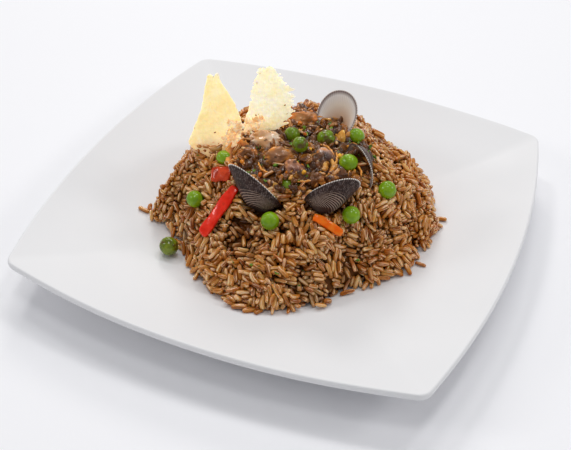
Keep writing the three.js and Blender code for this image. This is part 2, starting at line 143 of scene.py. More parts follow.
# mesh helpers
def onSkin(grid, value):
    # a value on each point of a closed skin: one pole, the loops of the grid, the other pole; a pole takes
    # its loop's mean. grid is (..., rows, cols, 3); leading axes are copies of the same shape
    rows, cols = grid.shape[-3:-1]
    shape = grid.shape if np.ndim(value) == grid.ndim else grid.shape[:-1]
    tail = shape[grid.ndim - 1:]
    copies = np.broadcast_to(value, shape).reshape(-1, rows * cols, *tail)
    first, last = (loop.mean(1, keepdims=True) for loop in (copies[:, :cols], copies[:, -cols:]))
    return np.concatenate([first, copies, last], 1).reshape(-1, *tail)


def skinFaces(grid):
    # quads between the loops, whose columns join round, and triangles round the poles
    rows, cols = grid.shape[-3:-1]
    end = 1 + rows * cols
    r, c = np.meshgrid(np.arange(rows - 1), np.arange(cols), indexing="ij")
    n = (c + 1) % cols
    quads = 1 + np.stack([r * cols + c, r * cols + n, (r + 1) * cols + n, (r + 1) * cols + c], -1).reshape(-1, 4)
    c, n = c[0], n[0]
    tris = np.concatenate([
        np.stack([0 * c, 1 + n, 1 + c], -1),
        np.stack([0 * c + end, end - cols + c, end - cols + n], -1)])
    shift = (np.arange(grid.size // (3 * rows * cols)) * (end + 1))[:, None, None]
    return (quads + shift).reshape(-1, 4), (tris + shift).reshape(-1, 3)


def makePiece(name, grid, finish, nodes, slot, **marks):
    # turns every face round if the skin encloses a negative volume, then writes the mesh in metres
    points = onSkin(grid, grid)
    quads, tris = skinFaces(grid)
    a, b, c, d = (points[quads[:, i]] for i in range(4))
    volume = np.einsum("ij,ij->", a, np.cross(b, c)) + np.einsum("ij,ij->", a, np.cross(c, d))
    a, b, c = (points[tris[:, i]] for i in range(3))
    volume += np.einsum("ij,ij->", a, np.cross(b, c))
    if volume < 0:
        quads, tris = quads[:, ::-1], tris[:, ::-1]
    mesh = bpy.data.meshes.new(name)
    mesh.vertices.add(len(points))
    mesh.vertices.foreach_set("co", (points * mm).astype(np.float32).ravel())
    mesh.loops.add(quads.size + tris.size)
    mesh.loops.foreach_set("vertex_index", np.concatenate([quads.ravel(), tris.ravel()]).astype(np.int32))
    mesh.polygons.add(len(quads) + len(tris))
    starts = np.concatenate([np.arange(len(quads)) * 4, quads.size + np.arange(len(tris)) * 3])
    mesh.polygons.foreach_set("loop_start", starts.astype(np.int32))
    mesh.update(calc_edges=True)
    mesh.shade_smooth()
    for mark, value in marks.items():
        values = onSkin(grid, value)
        kind = "FLOAT_VECTOR" if values.ndim == 2 else "FLOAT"
        key = "vector" if values.ndim == 2 else "value"
        mesh.attributes.new(mark, kind, "POINT").data.foreach_set(key, values.astype(np.float32).ravel())
    piece = bpy.data.objects.new(name, mesh)
    scene.collection.objects.link(piece)
    mesh.materials.append(finish.material)
    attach(piece, "root")
    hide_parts(*nodes)
    return piece


def waveNoise(points, size, seed, count=7):
    # a smooth field of about -1 to 1: the mean of sine waves in random directions, about size mm long
    source = np.random.default_rng(seed)
    ways = source.normal(size=(count, 3))
    ways *= (tau / (size * source.uniform(0.75, 1.5, (count, 1)))) / np.linalg.norm(ways, axis=1, keepdims=True)
    phase = source.uniform(0, tau, count)
    return np.sin(points @ ways.T + phase).sum(-1) / math.sqrt(count)


def polar(centre, reach, angle):
    return centre[0] + reach * np.cos(angle), centre[1] + reach * np.sin(angle)


def unit(v):
    return v / np.maximum(np.linalg.norm(v, axis=-1, keepdims=True), 1e-9)


# camera: the photograph's view, down on the plate from its front right
view = {"azimuth": 22.63, "elevation": 39.23, "roll": 0.98, "distance": 579.3,
        "target": (6.43, -26.58, 26.5), "lens": 65.6}


def viewWays(azimuth, elevation, roll):
    a, e, r = math.radians(azimuth), math.radians(elevation), math.radians(roll)
    eye = np.array([math.sin(a) * math.cos(e), -math.cos(a) * math.cos(e), math.sin(e)])
    level = unit(np.cross([0, 0, 1], eye))
    top = np.cross(eye, level)
    return level * math.cos(r) + top * math.sin(r), top * math.cos(r) - level * math.sin(r), eye


def makeCamera():
    right, up, eye = viewWays(view["azimuth"], view["elevation"], view["roll"])
    spot = (np.array(view["target"]) + view["distance"] * eye) * mm
    data = bpy.data.cameras.new("camera")
    data.sensor_fit = "HORIZONTAL"
    data.sensor_width = 36
    data.lens = view["lens"]
    data.clip_start, data.clip_end = 0.01, 20
    camera = bpy.data.objects.new("camera", data)
    turn = Matrix([right, up, eye]).transposed().to_4x4()
    camera.matrix_world = Matrix.Translation(spot) @ turn
    scene.collection.objects.link(camera)
    scene.camera = camera


makeCamera()
print("camera made")

# light: pale room and seven small soft lights all round, which give the wet food its glints
studio = {
    "room": ((0.96, 0.97, 1.0), 0.39),
    "lights": [  # azimuth, elevation, distance m, size m, power W, colour
        (198, 66, 1.9, 0.45, 3.6, (1.0, 0.99, 0.97)),
        (206, 35, 2.6, 0.7, 11, (1.0, 0.98, 0.95)),
        (-62, 30, 1.9, 0.45, 4.2, (1.0, 0.99, 0.98)),
        (108, 36, 1.9, 0.45, 5.0, (1.0, 0.99, 0.98)),
        (150, 62, 2.0, 0.34, 4.0, (1.0, 1.0, 1.0)),
        (-120, 58, 2.0, 0.34, 4.2, (1.0, 1.0, 1.0)),
        (20, 78, 2.0, 0.5, 4.2, (1.0, 1.0, 1.0)),
    ],
    "floor": (0.93, 0.93, 0.955),
}


def makeStudio():
    world = bpy.data.worlds.new("room")
    world.use_nodes = True
    shade = world.node_tree.nodes["Background"]
    colour, strength = studio["room"]
    shade.inputs[0].default_value = (*colour, 1)
    shade.inputs[1].default_value = strength
    scene.world = world
    for azimuth, elevation, distance, size, power, colour in studio["lights"]:
        right, up, way = viewWays(azimuth, elevation, 0)
        data = bpy.data.lights.new("softLight", "AREA")
        data.shape = "DISK"
        data.size = size
        data.energy = power
        data.color = colour
        lamp = bpy.data.objects.new("softLight", data)
        lamp.matrix_world = Matrix.Translation(way * distance) @ Matrix([right, up, way]).transposed().to_4x4()
        scene.collection.objects.link(lamp)
    scene.view_settings.view_transform = "Standard"
    floorFinish = Finish("paleTable", Roughness=0.6)
    pale = studio["floor"]
    floorFinish.feed("Base Color", floorFinish.mix(floorFinish.noise(2.0, 1.0), pale, [c * 0.985 for c in pale]))
    mesh = bpy.data.meshes.new("table")
    mesh.from_pydata([(-4, -4, 0), (4, -4, 0), (4, 4, 0), (-4, 4, 0)], [], [(0, 1, 2, 3)])
    mesh.materials.append(floorFinish.material)
    table = bpy.data.objects.new("table", mesh)
    scene.collection.objects.link(table)


makeStudio()
print("studio made")

# plate: its rim line is a square whose sides bow outwards
plate = {"corner": 115.6, "bow": 14.4, "cornerRadius": 7.5, "rim": 26.5, "cornerRise": 1.0, "well": 7.5,
         "bowlPower": 2.6, "squaring": 1.7, "wall": 4.6, "lip": 1.40, "footOuter": 71, "footInner": 65.5,
         "footSplay": 1.2, "recess": 3.0, "columns": 320}
midReach = plate["corner"] + plate["bow"]


def rimReach(angle):
    # from the centre to the rim line: the side arc's circle, or the corner's circle past where they touch
    x, y = np.abs(np.cos(angle)), np.abs(np.sin(angle))
    along, across = np.maximum(x, y), np.minimum(x, y)
    corner, bow, small = plate["corner"], plate["bow"], plate["cornerRadius"]
    sideRadius = (corner ** 2 + bow ** 2) / (2 * bow)
    sideCentre = corner + bow - sideRadius

    def onCircle(cx, cy, radius):
        middle = along * cx + across * cy
        return middle + np.sqrt(np.maximum(middle ** 2 - cx ** 2 - cy ** 2 + radius ** 2, 0))

    side = onCircle(sideCentre, 0, sideRadius)
    half = sideCentre / 2
    diagonal = half + math.sqrt(half ** 2 - (sideCentre ** 2 - (sideRadius - small) ** 2) / 2)
    touch = math.atan2(diagonal, diagonal - sideCentre)
    past = np.arctan2(side * across, side * along - sideCentre) > touch
    return np.where(past, onCircle(diagonal, diagonal, small), side)


def rimHeight(angle):
    return plate["rim"] + plate["cornerRise"] * np.abs(np.sin(2 * angle)) ** 6


def plateReach(t, angle):
    # t times the way to the rim, turning from a circle at the centre to the square rim
    return t * (midReach + (rimReach(angle) - midReach) * np.minimum(t, 1) ** plate["squaring"])


def plateTop(t, angle):
    return plate["well"] + (rimHeight(angle) - plate["well"]) * t ** plate["bowlPower"]


def plateHeight(x, y):
    # height of the eating surface over (x, y): t is found by halving
    angle, reach = np.arctan2(y, x), np.hypot(x, y)
    low, high = np.zeros_like(reach), np.ones_like(reach)
    for _ in range(20):
        middle = (low + high) / 2
        inside = plateReach(middle, angle) < reach
        low, high = np.where(inside, middle, low), np.where(inside, high, middle)
    return plateTop(low, angle)


def makePlate():
    # loops round the plate: foot ring, underside, rounded lip, eating surface; (reach, height) of each
    v = np.arange(plate["columns"] // 4) / (plate["columns"] // 4) * 2 - 1
    quarter = math.pi / 4 * (1.5 * v - 0.5 * v ** 3)  # columns crowd towards the corners
    angle = (np.arange(4)[:, None] * math.pi / 2 + quarter).ravel()
    wall, lip, splay = plate["wall"], plate["lip"], plate["footSplay"]
    inner, outer, recess = plate["footInner"], plate["footOuter"], plate["recess"]
    footT = outer / midReach
    flat = np.ones_like(angle)
    loops = [(s * (inner - 4) * flat, recess * flat) for s in (0.05, 0.4, 0.8, 1)]
    for share in np.linspace(0, 1, 5):  # a hollow fillet down the inside of the foot
        loops.append(((inner - 3 + 3 * math.sin(share * math.pi / 2)) * flat,
                      (recess * math.cos(share * math.pi / 2) ** 0.8) * flat))
    for share in np.linspace(0, 1, 5):  # the rounded foot
        loops.append(((inner + (outer - splay - inner) * share) * flat, (0.35 * (2 * share - 1) ** 4) * flat))
    under = plateTop(footT, angle) - wall
    loops.append(((outer - 0.3 * splay) * flat, 0.4 * under))
    loops.append((outer * flat, 0.85 * under))
    loops.append(((outer + 1.2) * flat, under + 0.12))
    for t in np.linspace(footT + 0.035, 0.975, 16):
        loops.append((plateReach(t, angle) + 0.6 * wall * (t - footT), plateTop(t, angle) - wall))
    rim, top = rimReach(angle), rimHeight(angle)
    for turn in np.linspace(-0.42, 1, 14):  # the lip: a rounded bead from the underside to the top
        a = turn * math.pi / 2
        loops.append((rim + lip * math.cos(a) ** 0.8, top - 0.5 * wall * 0.9 * (1 - math.sin(a))))
    for t in np.concatenate([[0.996, 0.99, 0.98], np.linspace(0.965, 0.03, 52)]):
        loops.append((plateReach(t, angle), plateTop(t, angle)))
    grid = np.array([np.stack([r * np.cos(angle), r * np.sin(angle), z], -1) for r, z in loops])
    glaze = Finish("whiteGlaze", IOR=1.34)
    glaze.feed("Base Color", glaze.mix(glaze.noise(9.0, 2.0), (0.80, 0.80, 0.81), (0.83, 0.83, 0.84)))
    glaze.feed("Roughness", glaze.cloud(30.0, 3.0, 0.3, 0.7, 0.42, 0.5))
    glaze.bump(glaze.noise(14.0, 1.0), 0.0006, 0.25)
    makePiece("square_plate", grid, glaze, ["plate"], "ceramic")


makePlate()
print("plate made")

# rice heap: a dome about its peak, with an uneven outline
heap = {"peak": (0.3, 14.8), "top": 64.0, "reach": 77.7, "fullness": 3.53, "sidePower": 0.82, "edgeStep": 2.6,
        "reachWaves": [(1, 1.3, -11.6), (2, -1.6, 0.2), (3, -0.4, 3.2), (4, 1.4, 0.7), (5, 0.9, -1.1),
                       (6, -1.0, -0.5), (7, -0.1, 0.3)],
        "spills": [(-145, 8, 4), (-62, 5, 5), (-105, 1.5, 4), (-22, 1.5, 5), (4, 1.5, 5)],
        "fullnessWaves": [(1, -0.6, -0.3), (2, 0.8, 0.16), (3, -0.18, -0.75)],
        "coreDepth": 9.0, "coreInset": 5.0, "coreGap": 0.4}


def waves(terms, angle):
    return sum(c * np.cos(n * angle) + s * np.sin(n * angle) for n, c, s in terms)


def heapReach(angle):
    reach = heap["reach"] + waves(heap["reachWaves"], angle)
    for towards, extra, width in heap["spills"]:
        off = (np.degrees(angle) - towards + 180) % 360 - 180
        reach = reach + extra * np.exp(-((off / width) ** 2))
    return reach


def domeAt(share, angle):
    # height at a share of the way out: base + (top - base) * (1 - share^fullness)^sidePower
    x, y = polar(heap["peak"], share * heapReach(angle), angle)
    power = heap["fullness"] + waves(heap["fullnessWaves"], angle)
    inside = np.clip(share, 0, 1)
    base = plateHeight(x, y) + heap["edgeStep"] * inside ** 8 * (share <= 1)
    return base + (heap["top"] - base) * (1 - inside ** power) ** heap["sidePower"]


def dome(x, y):
    x, y = np.asarray(x, float), np.asarray(y, float)
    angle = np.arctan2(y - heap["peak"][1], x - heap["peak"][0])
    return domeAt(np.hypot(x - heap["peak"][0], y - heap["peak"][1]) / heapReach(angle), angle)


# maps of the plate's and the dome's height, 1 mm apart, for quick reading
mapEdge = 132
mapX, mapY = np.meshgrid(np.arange(-mapEdge, mapEdge + 1.0), np.arange(-mapEdge, mapEdge + 1.0), indexing="ij")
plateMap = plateHeight(mapX, mapY)
domeMap = dome(mapX, mapY)
for _ in range(2):  # softened a little, so that its slopes are even
    for axis in (0, 1):
        domeMap = (np.roll(domeMap, 1, axis) + 2 * domeMap + np.roll(domeMap, -1, axis)) / 4
slopeX, slopeY = np.gradient(domeMap)


def readMap(field, x, y):
    # bilinear reading of a map at (x, y)
    u, v = np.clip(x + mapEdge, 0, 2 * mapEdge - 1.001), np.clip(y + mapEdge, 0, 2 * mapEdge - 1.001)
    i, j = u.astype(int), v.astype(int)
    u, v = u - i, v - j
    return ((field[i, j] * (1 - u) + field[i + 1, j] * u) * (1 - v)
            + (field[i, j + 1] * (1 - u) + field[i + 1, j + 1] * u) * v)


def offDome(points):
    # distance from the dome, outwards, and the outward direction: (z - height) / sqrt(1 + slope^2)
    gx, gy = readMap(slopeX, points[:, 0], points[:, 1]), readMap(slopeY, points[:, 0], points[:, 1])
    size = np.sqrt(1 + gx ** 2 + gy ** 2)
    off = (points[:, 2] - readMap(domeMap, points[:, 0], points[:, 1])) / size
    return off, np.stack([-gx, -gy, np.ones_like(gx)], -1) / size[:, None]


def makeCore():
    # the dome sunk by coreDepth, closed below just over the plate; its near-black colour is sauce-soaked rice with
    # painted shade, so the gaps between the grains look deep
    angle = np.linspace(0, tau, 121)[:-1]
    reach = heapReach(angle) - heap["coreInset"]

    def loop(share, height):
        x, y = polar(heap["peak"], share * reach, angle)
        return np.stack([x, y, height(x, y)], -1)

    def below(x, y):
        return plateHeight(x, y) + heap["coreGap"]

    def above(x, y):
        sunk = dome(x, y) - heap["coreDepth"]
        rough = 0.7 * waveNoise(np.stack([x, y, 0 * x], -1), 7, 5)
        return np.maximum(sunk + rough, below(x, y) + 0.5)

    rows = [loop(s, below) for s in (0.1, 0.4, 0.7, 0.97)] + [loop(s, above) for s in np.linspace(1, 0.03, 42)]
    dark = Finish("soakedRicePaintedShade", IOR=1.2, Roughness=0.5)
    dark.feed("Base Color", dark.mix(dark.noise(220.0, 3.0), (0.040, 0.011, 0.001), (0.15, 0.048, 0.006)))
    dark.bump(dark.noise(420.0, 2.0), 0.001, 0.8)
    makePiece("rice_core", np.array(rows), dark, ["rice_heap"], "rice")


makeCore()
print("core made")


# shapes that several pieces share
def smoothPath(points, count):
    # a cubic through the points (Catmull-Rom), its stations crowded towards both ends
    p = np.array(points, float)
    p = np.concatenate([2 * p[:1] - p[1:2], p, 2 * p[-1:] - p[-2:-1]])
    s = (0.5 + 0.5 * np.sin(np.linspace(-1, 1, count) * math.pi / 2)) * (len(points) - 1) * 0.99999
    i = s.astype(int)
    t = (s - i)[:, None]
    a, b, c, d = p[i], p[i + 1], p[i + 2], p[i + 3]
    return 0.5 * (2 * b + (c - a) * t + (2 * a - 5 * b + 4 * c - d) * t ** 2 + (3 * b - a - 3 * c + d) * t ** 3)


def ribbonSkin(path, up, width, thickness, around=16, square=0.55, endPower=16):
    # section at each station: (sgn(cos v)|cos v|^square * width, same of sin v * thickness) / 2 across and up,
    # both shrinking at the ends by (1 - |s|^endPower)^0.5
    forward = unit(np.gradient(path, axis=0))
    up = unit(up - (up * forward).sum(-1, keepdims=True) * forward)
    across = np.cross(up, forward)
    v = (np.arange(around) + 0.5) / around * tau
    c, s = np.cos(v), np.sin(v)
    wide = np.sign(c) * np.abs(c) ** square
    deep = np.sign(s) * np.abs(s) ** square
    place = np.sin(np.linspace(-1, 1, len(path)) * math.pi / 2) * 0.9995
    shrink = ((1 - np.abs(place) ** endPower) ** 0.5)[:, None]
    width = np.broadcast_to(width, (len(path),))[:, None]
    thickness = np.broadcast_to(thickness, (len(path),))[:, None]
    return (path[:, None] + across[:, None] * (wide * width / 2 * shrink)[..., None]
            + up[:, None] * (deep * thickness / 2 * shrink)[..., None])


def ballWays(rows, cols):
    # directions on a grid over a ball, its poles left out
    u = np.linspace(0, math.pi, rows + 2)[1:-1, None]
    v = np.arange(cols) / cols * tau
    return np.stack([np.sin(u) * np.cos(v), np.sin(u) * np.sin(v), np.cos(u) + 0 * v], -1)


def blobSkins(centre, size, rows, cols, rough, square=1.0, seed=0):
    # an ellipsoid of half sizes size, squared off by the power square, its radius waved by rough
    total = len(centre)
    way = ballWays(rows, cols)
    shape = np.sign(way) * np.abs(way) ** square
    shift = np.random.default_rng(seed).uniform(0, 90, (total, 1, 1, 3))
    swell = 1 + rough * waveNoise(way + shift, 1.9, seed) + 0.5 * rough * waveNoise(way + shift, 0.9, seed + 1)
    body = shape * swell[..., None] * size[:, None, None]
    return centre[:, None, None] + np.einsum("nij,nrcj->nrci", randomTurns(total, seed + 2), body)


def randomTurns(total, seed):
    # rotation matrices from random unit quaternions
    w, x, y, z = unit(np.random.default_rng(seed).normal(size=(total, 4))).T
    rows = [[1 - 2 * (y * y + z * z), 2 * (x * y - z * w), 2 * (x * z + y * w)],
            [2 * (x * y + z * w), 1 - 2 * (x * x + z * z), 2 * (y * z - x * w)],
            [2 * (x * z - y * w), 2 * (y * z + x * w), 1 - 2 * (x * x + y * y)]]
    return np.moveaxis(np.array(rows), -1, 0)


def slopeUp(x, y):
    # the dome's outward direction over (x, y)
    return offDome(np.stack([x, y, 0 * x], -1))[1]


def balls(points, size):
    # fixed balls that the rice keeps clear of
    flat = np.asarray(points).reshape(-1, 3)
    return np.concatenate([flat, np.full((len(flat), 1), size)], 1)


solid, guarded = [], []  # what the grains keep out of, and what they don't cover

# the directions of the view that shells and clam meat are set by
viewRight, viewUp, viewEye = viewWays(22.6, 39.2, 0)

# peas
peas = {"spots": [(-49.4, -60.2, 17.8, 5.4), (-41.4, -42.4, 40.8, 4.7), (-32.2, -23.6, 58.9, 4.4),
                  (-3.1, 3.5, 65.8, 4.5), (6.7, -8.4, 69.4, 4.5), (15.8, 7.3, 66.2, 5.1),
                  (29.3, 19.3, 63.9, 4.7), (34.2, -6.5, 64.3, 5.0), (57.0, -5.5, 52.2, 5.0),
                  (45.4, -29.8, 48.8, 4.9), (7.6, -50.8, 47.7, 5.0), (8.8, -31.2, 58.4, 4.3)],
        "wrinkled": {0: 0.018, 7: 0.03, 5: 0.014}, "wrinkle": 0.006, "sauced": (3, 4, 5, 11), "olive": 0,
        "rows": 30, "columns": 48}


def peaFinish(name, light, dark, sauce):
    pea = Finish(name, IOR=1.25, Coat_Roughness=0.07, soft=(0.2, 0.002, (0.6, 1.0, 0.1)))
    patch = pea.cloud(190.0, 3.0, 0.3, 0.7)
    skin = pea.mix(patch, dark, light)
    film = pea.cloud(260.0, 3.0, 0.62 - sauce, 0.74 - sauce)
    pea.feed("Base Color", pea.mix(film * 0.8, skin, (0.10, 0.035, 0.008)))
    pea.feed("Roughness", pea.cloud(500.0, 2.0, 0.3, 0.7, 0.16, 0.28))
    pea.feed("Coat Weight", pea.range(patch, 0.0, 1.0, 0.45, 0.7))
    pea.bump(pea.noise(900.0, 2.0), 0.0003, 0.25)
    return pea


def makePeas():
    green = peaFinish("peaGreen", (0.24, 0.42, 0.004), (0.15, 0.29, 0.003), -0.12)
    sauced = peaFinish("peaSauced", (0.19, 0.31, 0.004), (0.11, 0.18, 0.003), 0.13)
    olive = peaFinish("peaOlive", (0.21, 0.27, 0.008), (0.10, 0.14, 0.005), 0.08)
    way = ballWays(peas["rows"], peas["columns"])
    for index, (x, y, z, radius) in enumerate(peas["spots"]):
        # size = 1 + wrinkles - dimple; the dimple is a bell round a random direction
        chance = np.random.default_rng(60 + index)
        dimple = unit(chance.normal(size=3))
        size = 1 - 0.05 * np.exp(-(np.arccos(np.clip(way @ dimple, -1, 1)) / 0.22) ** 2)
        fold = peas["wrinkled"].get(index, peas["wrinkle"])
        size = size + fold * waveNoise(way + index * 7, 0.9, 70 + index) - 0.4 * fold
        grid = np.array([x, y, z]) + way * (size * radius)[..., None] * np.array([1, 0.97, 1])
        finish = olive if index == peas["olive"] else sauced if index in peas["sauced"] else green
        makePiece("pea_skin_%02d" % (index + 1), grid, finish, ["pea_%02d" % (index + 1)], "pea")
        solid.append(balls(np.array([x, y, z]) + way[::4, ::4] * (radius - 1.2), 1.2))


makePeas()
print("peas made")

# pepper strips: ribbons along points on the rice (x, y, lift)
peppers = {
    "thickness": 2.3, "stations": 44, "around": 28, "keepOff": 0.9,
    "pieces": {
        "pepper_strip_red": {
            "path": [(-18.4, -37.6, 0.9), (-20.2, -42.6, 1.2), (-22.0, -47.2, 1.5), (-25.4, -53.0, 1.4),
                     (-30.0, -57.6, 1.2)],
            "width": (4.8, 6.2, 6.8, 6.2, 7.4), "slot": "red_pepper",
            "skin": ((1.0, 0.030, 0.003), (0.76, 0.014, 0.001))},
        "pepper_square_red": {
            "path": [(-35.4, -32.8, 0.8), (-31.2, -32.5, 0.8), (-24.6, -31.6, 0.8)],
            "width": (8.2, 8.4, 8.0), "slot": "red_pepper", "skin": ((0.70, 0.060, 0.006), (0.34, 0.020, 0.003))},
        "pepper_strip_orange": {
            "path": [(28.4, -41.6, 0.6), (32.4, -41.2, 1.0), (37.2, -40.0, 1.2), (43.9, -38.3, 1.1)],
            "width": (4.0, 4.6, 5.0, 4.2), "slot": "orange_pepper", "skin": ((1.0, 0.25, 0.005), (0.92, 0.14, 0.002))},
    },
}


def makePeppers():
    stations, clear = peppers["stations"], peppers["keepOff"]
    for name, spec in peppers["pieces"].items():
        points = np.array(spec["path"])
        points[:, 2] += dome(points[:, 0], points[:, 1])
        path = smoothPath(points, stations)
        shares = np.linspace(0, 1, len(spec["width"]))
        width = np.interp(0.5 + 0.5 * np.sin(np.linspace(-1, 1, stations) * math.pi / 2), shares, spec["width"])
        width = width * (1 + 0.05 * np.sin(np.linspace(0, 19, stations)))
        up = unit(slopeUp(path[:, 0], path[:, 1]) + 0.6 * viewEye)
        forward = unit(np.gradient(path, axis=0))
        up = unit(up - (up * forward).sum(-1, keepdims=True) * forward)
        grid = ribbonSkin(path, up, width, peppers["thickness"], peppers["around"], 0.5, 26)
        grid += up[:, None] * (0.12 * waveNoise(grid, 7.0, 21) + 0.04 * waveNoise(grid, 2.0, 22))[..., None]
        light, dark = spec["skin"]
        skin = Finish(name + "_skin", IOR=1.22, Coat_Roughness=0.07, soft=(0.18, 0.002, (1.0, 0.3, 0.1)))
        tone = skin.cloud(240.0, 3.0, 0.3, 0.7)
        film = skin.cloud(330.0, 2.0, 0.64, 0.80)
        skin.feed("Base Color", skin.mix(film * 0.4, skin.mix(tone, dark, light), (0.12, 0.03, 0.006)))
        skin.feed("Coat Weight", skin.range(tone, 0.0, 1.0, 0.1, 0.7))
        skin.feed("Roughness", skin.range(tone, 0.0, 1.0, 0.34, 0.2))
        skin.bump(skin.noise(600.0, 2.0), 0.0004, 0.35)
        makePiece(name + "_cut", grid, skin, [name], spec["slot"])
        solid.append(balls(path[::3] - up[::3] * 0.2, clear))
        across = np.cross(up, forward)
        for side in (-0.33, 0.33):
            edge = path[::3] + across[::3] * width[::3, None] * side
            guarded.append(edge)
            solid.append(balls(np.concatenate([edge, edge + up[::3] * 1.8]), clear))


makePeppers()
print("pepper made")

# clam shells: half shells with fine ribs from the beak to the rim
shells = {
    "bare": ("shell_left", "shell_right"), "wall": 1.5, "beak": 0.41, "beakHeight": 0.22, "backFull": 0.42,
    "ribs": 60, "relief": 0.2, "columns": 360, "lines": 96,
    "places": {
        "shell_left": {"length": 36, "width": 24, "bulge": 11, "middle": (-7.3, -37.2, 56.9),
                       "farWay": (-50, 38, 4), "backWay": (-38, -50, 16)},
        "shell_right": {"length": 31, "width": 23, "bulge": 11, "middle": (33.1, -26.8, 58.3),
                        "farWay": (50, 16, -2), "backWay": (16, -48, 24)},
        "shell_back": {"length": 31, "width": 25, "bulge": 9, "middle": (14.6, 25.0, 69.6),
                       "farWay": (10, 38, 6), "backWay": (20, -4, -38)},
        "shell_side": {"length": 27, "width": 21, "bulge": 8, "middle": (38.6, -0.6, 58.8),
                       "farWay": (20, -34, 0), "backWay": (34, 12, -20)},
    },
}


def shellSkin(length, width, bulge):
    # rim(a) = (length/2 cos a, width/2 sin a (1 + 0.1 cos a)); a line of constant a runs straight from the
    # beak to the rim; height = bulge (1 - share^2.2)^0.8 * swell * full, where full rises from the beak by
    # sin(pi/2 min(1, share / backFull)); ribs stand out by relief * |cos|^0.8
    angle = np.arange(shells["columns"]) / shells["columns"] * tau
    beakX = -shells["beak"] * length

    def rim(halfLength, halfWidth, a):
        return halfLength * np.cos(a), halfWidth * np.sin(a) * (1 + 0.1 * np.cos(a))

    fine = np.linspace(0, tau, 2001)
    fx, fy = rim(length / 2, width / 2, fine)
    run = np.concatenate([[0], np.cumsum(np.hypot(np.diff(fx), np.diff(fy)))])
    ribTurn = shells["ribs"] * math.pi * np.interp(angle, fine, run) / run[-1]
    rib = np.abs(np.cos(ribTurn)) ** 0.8
    px, py = rim(length / 2, width / 2, angle)
    far = np.clip(np.hypot(px - beakX, py) / (0.16 * length) - 0.8, 0, 1)  # ribs fade beside the hinge

    def skin(halfLength, halfWidth, height, share):
        ex, ey = rim(halfLength, halfWidth, angle)
        towards = 0.5 + 0.5 * np.cos(np.arctan2(ey, ex - beakX))
        s = share[:, None]
        rise = np.sin(math.pi / 2 * np.minimum(1, s / shells["backFull"]))
        full = shells["beakHeight"] + (1 - shells["beakHeight"]) * rise * towards
        swell = full * (0.55 + 0.5 * towards * np.sin(math.pi * s ** 0.6))
        return np.stack([beakX + (ex - beakX) * s, ey * s,
                         height * np.maximum(1 - s ** 2.2, 0) ** 0.8 * swell], -1)

    outShare = 1 - (1 - np.linspace(0.02, 1, 50)) ** 1.25
    inShare = np.linspace(1, 0.03, 26)
    wall = shells["wall"]
    outer = skin(length / 2, width / 2, bulge, outShare)
    inner = skin(length / 2 - 0.6 * wall, width / 2 - 0.6 * wall, bulge - wall, inShare)
    alongShare, alongAngle = np.gradient(outer, axis=0), (np.roll(outer, -1, 1) - np.roll(outer, 1, 1)) / 2
    normal = unit(np.cross(alongShare, alongAngle))
    normal *= np.where(normal[..., 2:] < 0, -1, 1)
    depth = shells["relief"] * (outShare ** 0.8)[:, None] * far * (rib - 1)
    growth = 0.07 * np.sin(outShare[:, None] * 46 + 0.6 * np.sin(3 * angle)) * outShare[:, None] ** 2
    outer = outer + normal * (depth + growth * (1 - outShare[:, None] ** 20))[..., None]
    # the rim is notched where the furrows meet it
    notch = unit(np.stack([px - beakX, py, 0 * px], -1)) * (0.42 * far * (rib - 0.6))[:, None]
    outer = outer + notch * (outShare ** 18)[:, None, None]
    inner = inner + notch * (inShare ** 12)[:, None, None]
    edge = 0.5 * (outer[-1] + inner[0]) + unit(np.stack([px - beakX, py, 0 * px], -1)) * 0.1 - [0, 0, 0.12]
    grid = np.concatenate([outer, edge[None], inner])
    share = np.concatenate([outShare, [1.0], inShare])
    inside = np.concatenate([0 * outShare, [0.5], 0 * inShare + 1])
    fan = np.arctan2(np.maximum(grid[..., 2], 0), np.maximum(grid[..., 0] - beakX, 0) + 0.02 * length)
    return grid, {"rib": rib * far, "share": share[:, None], "inside": inside[:, None], "fan": fan}


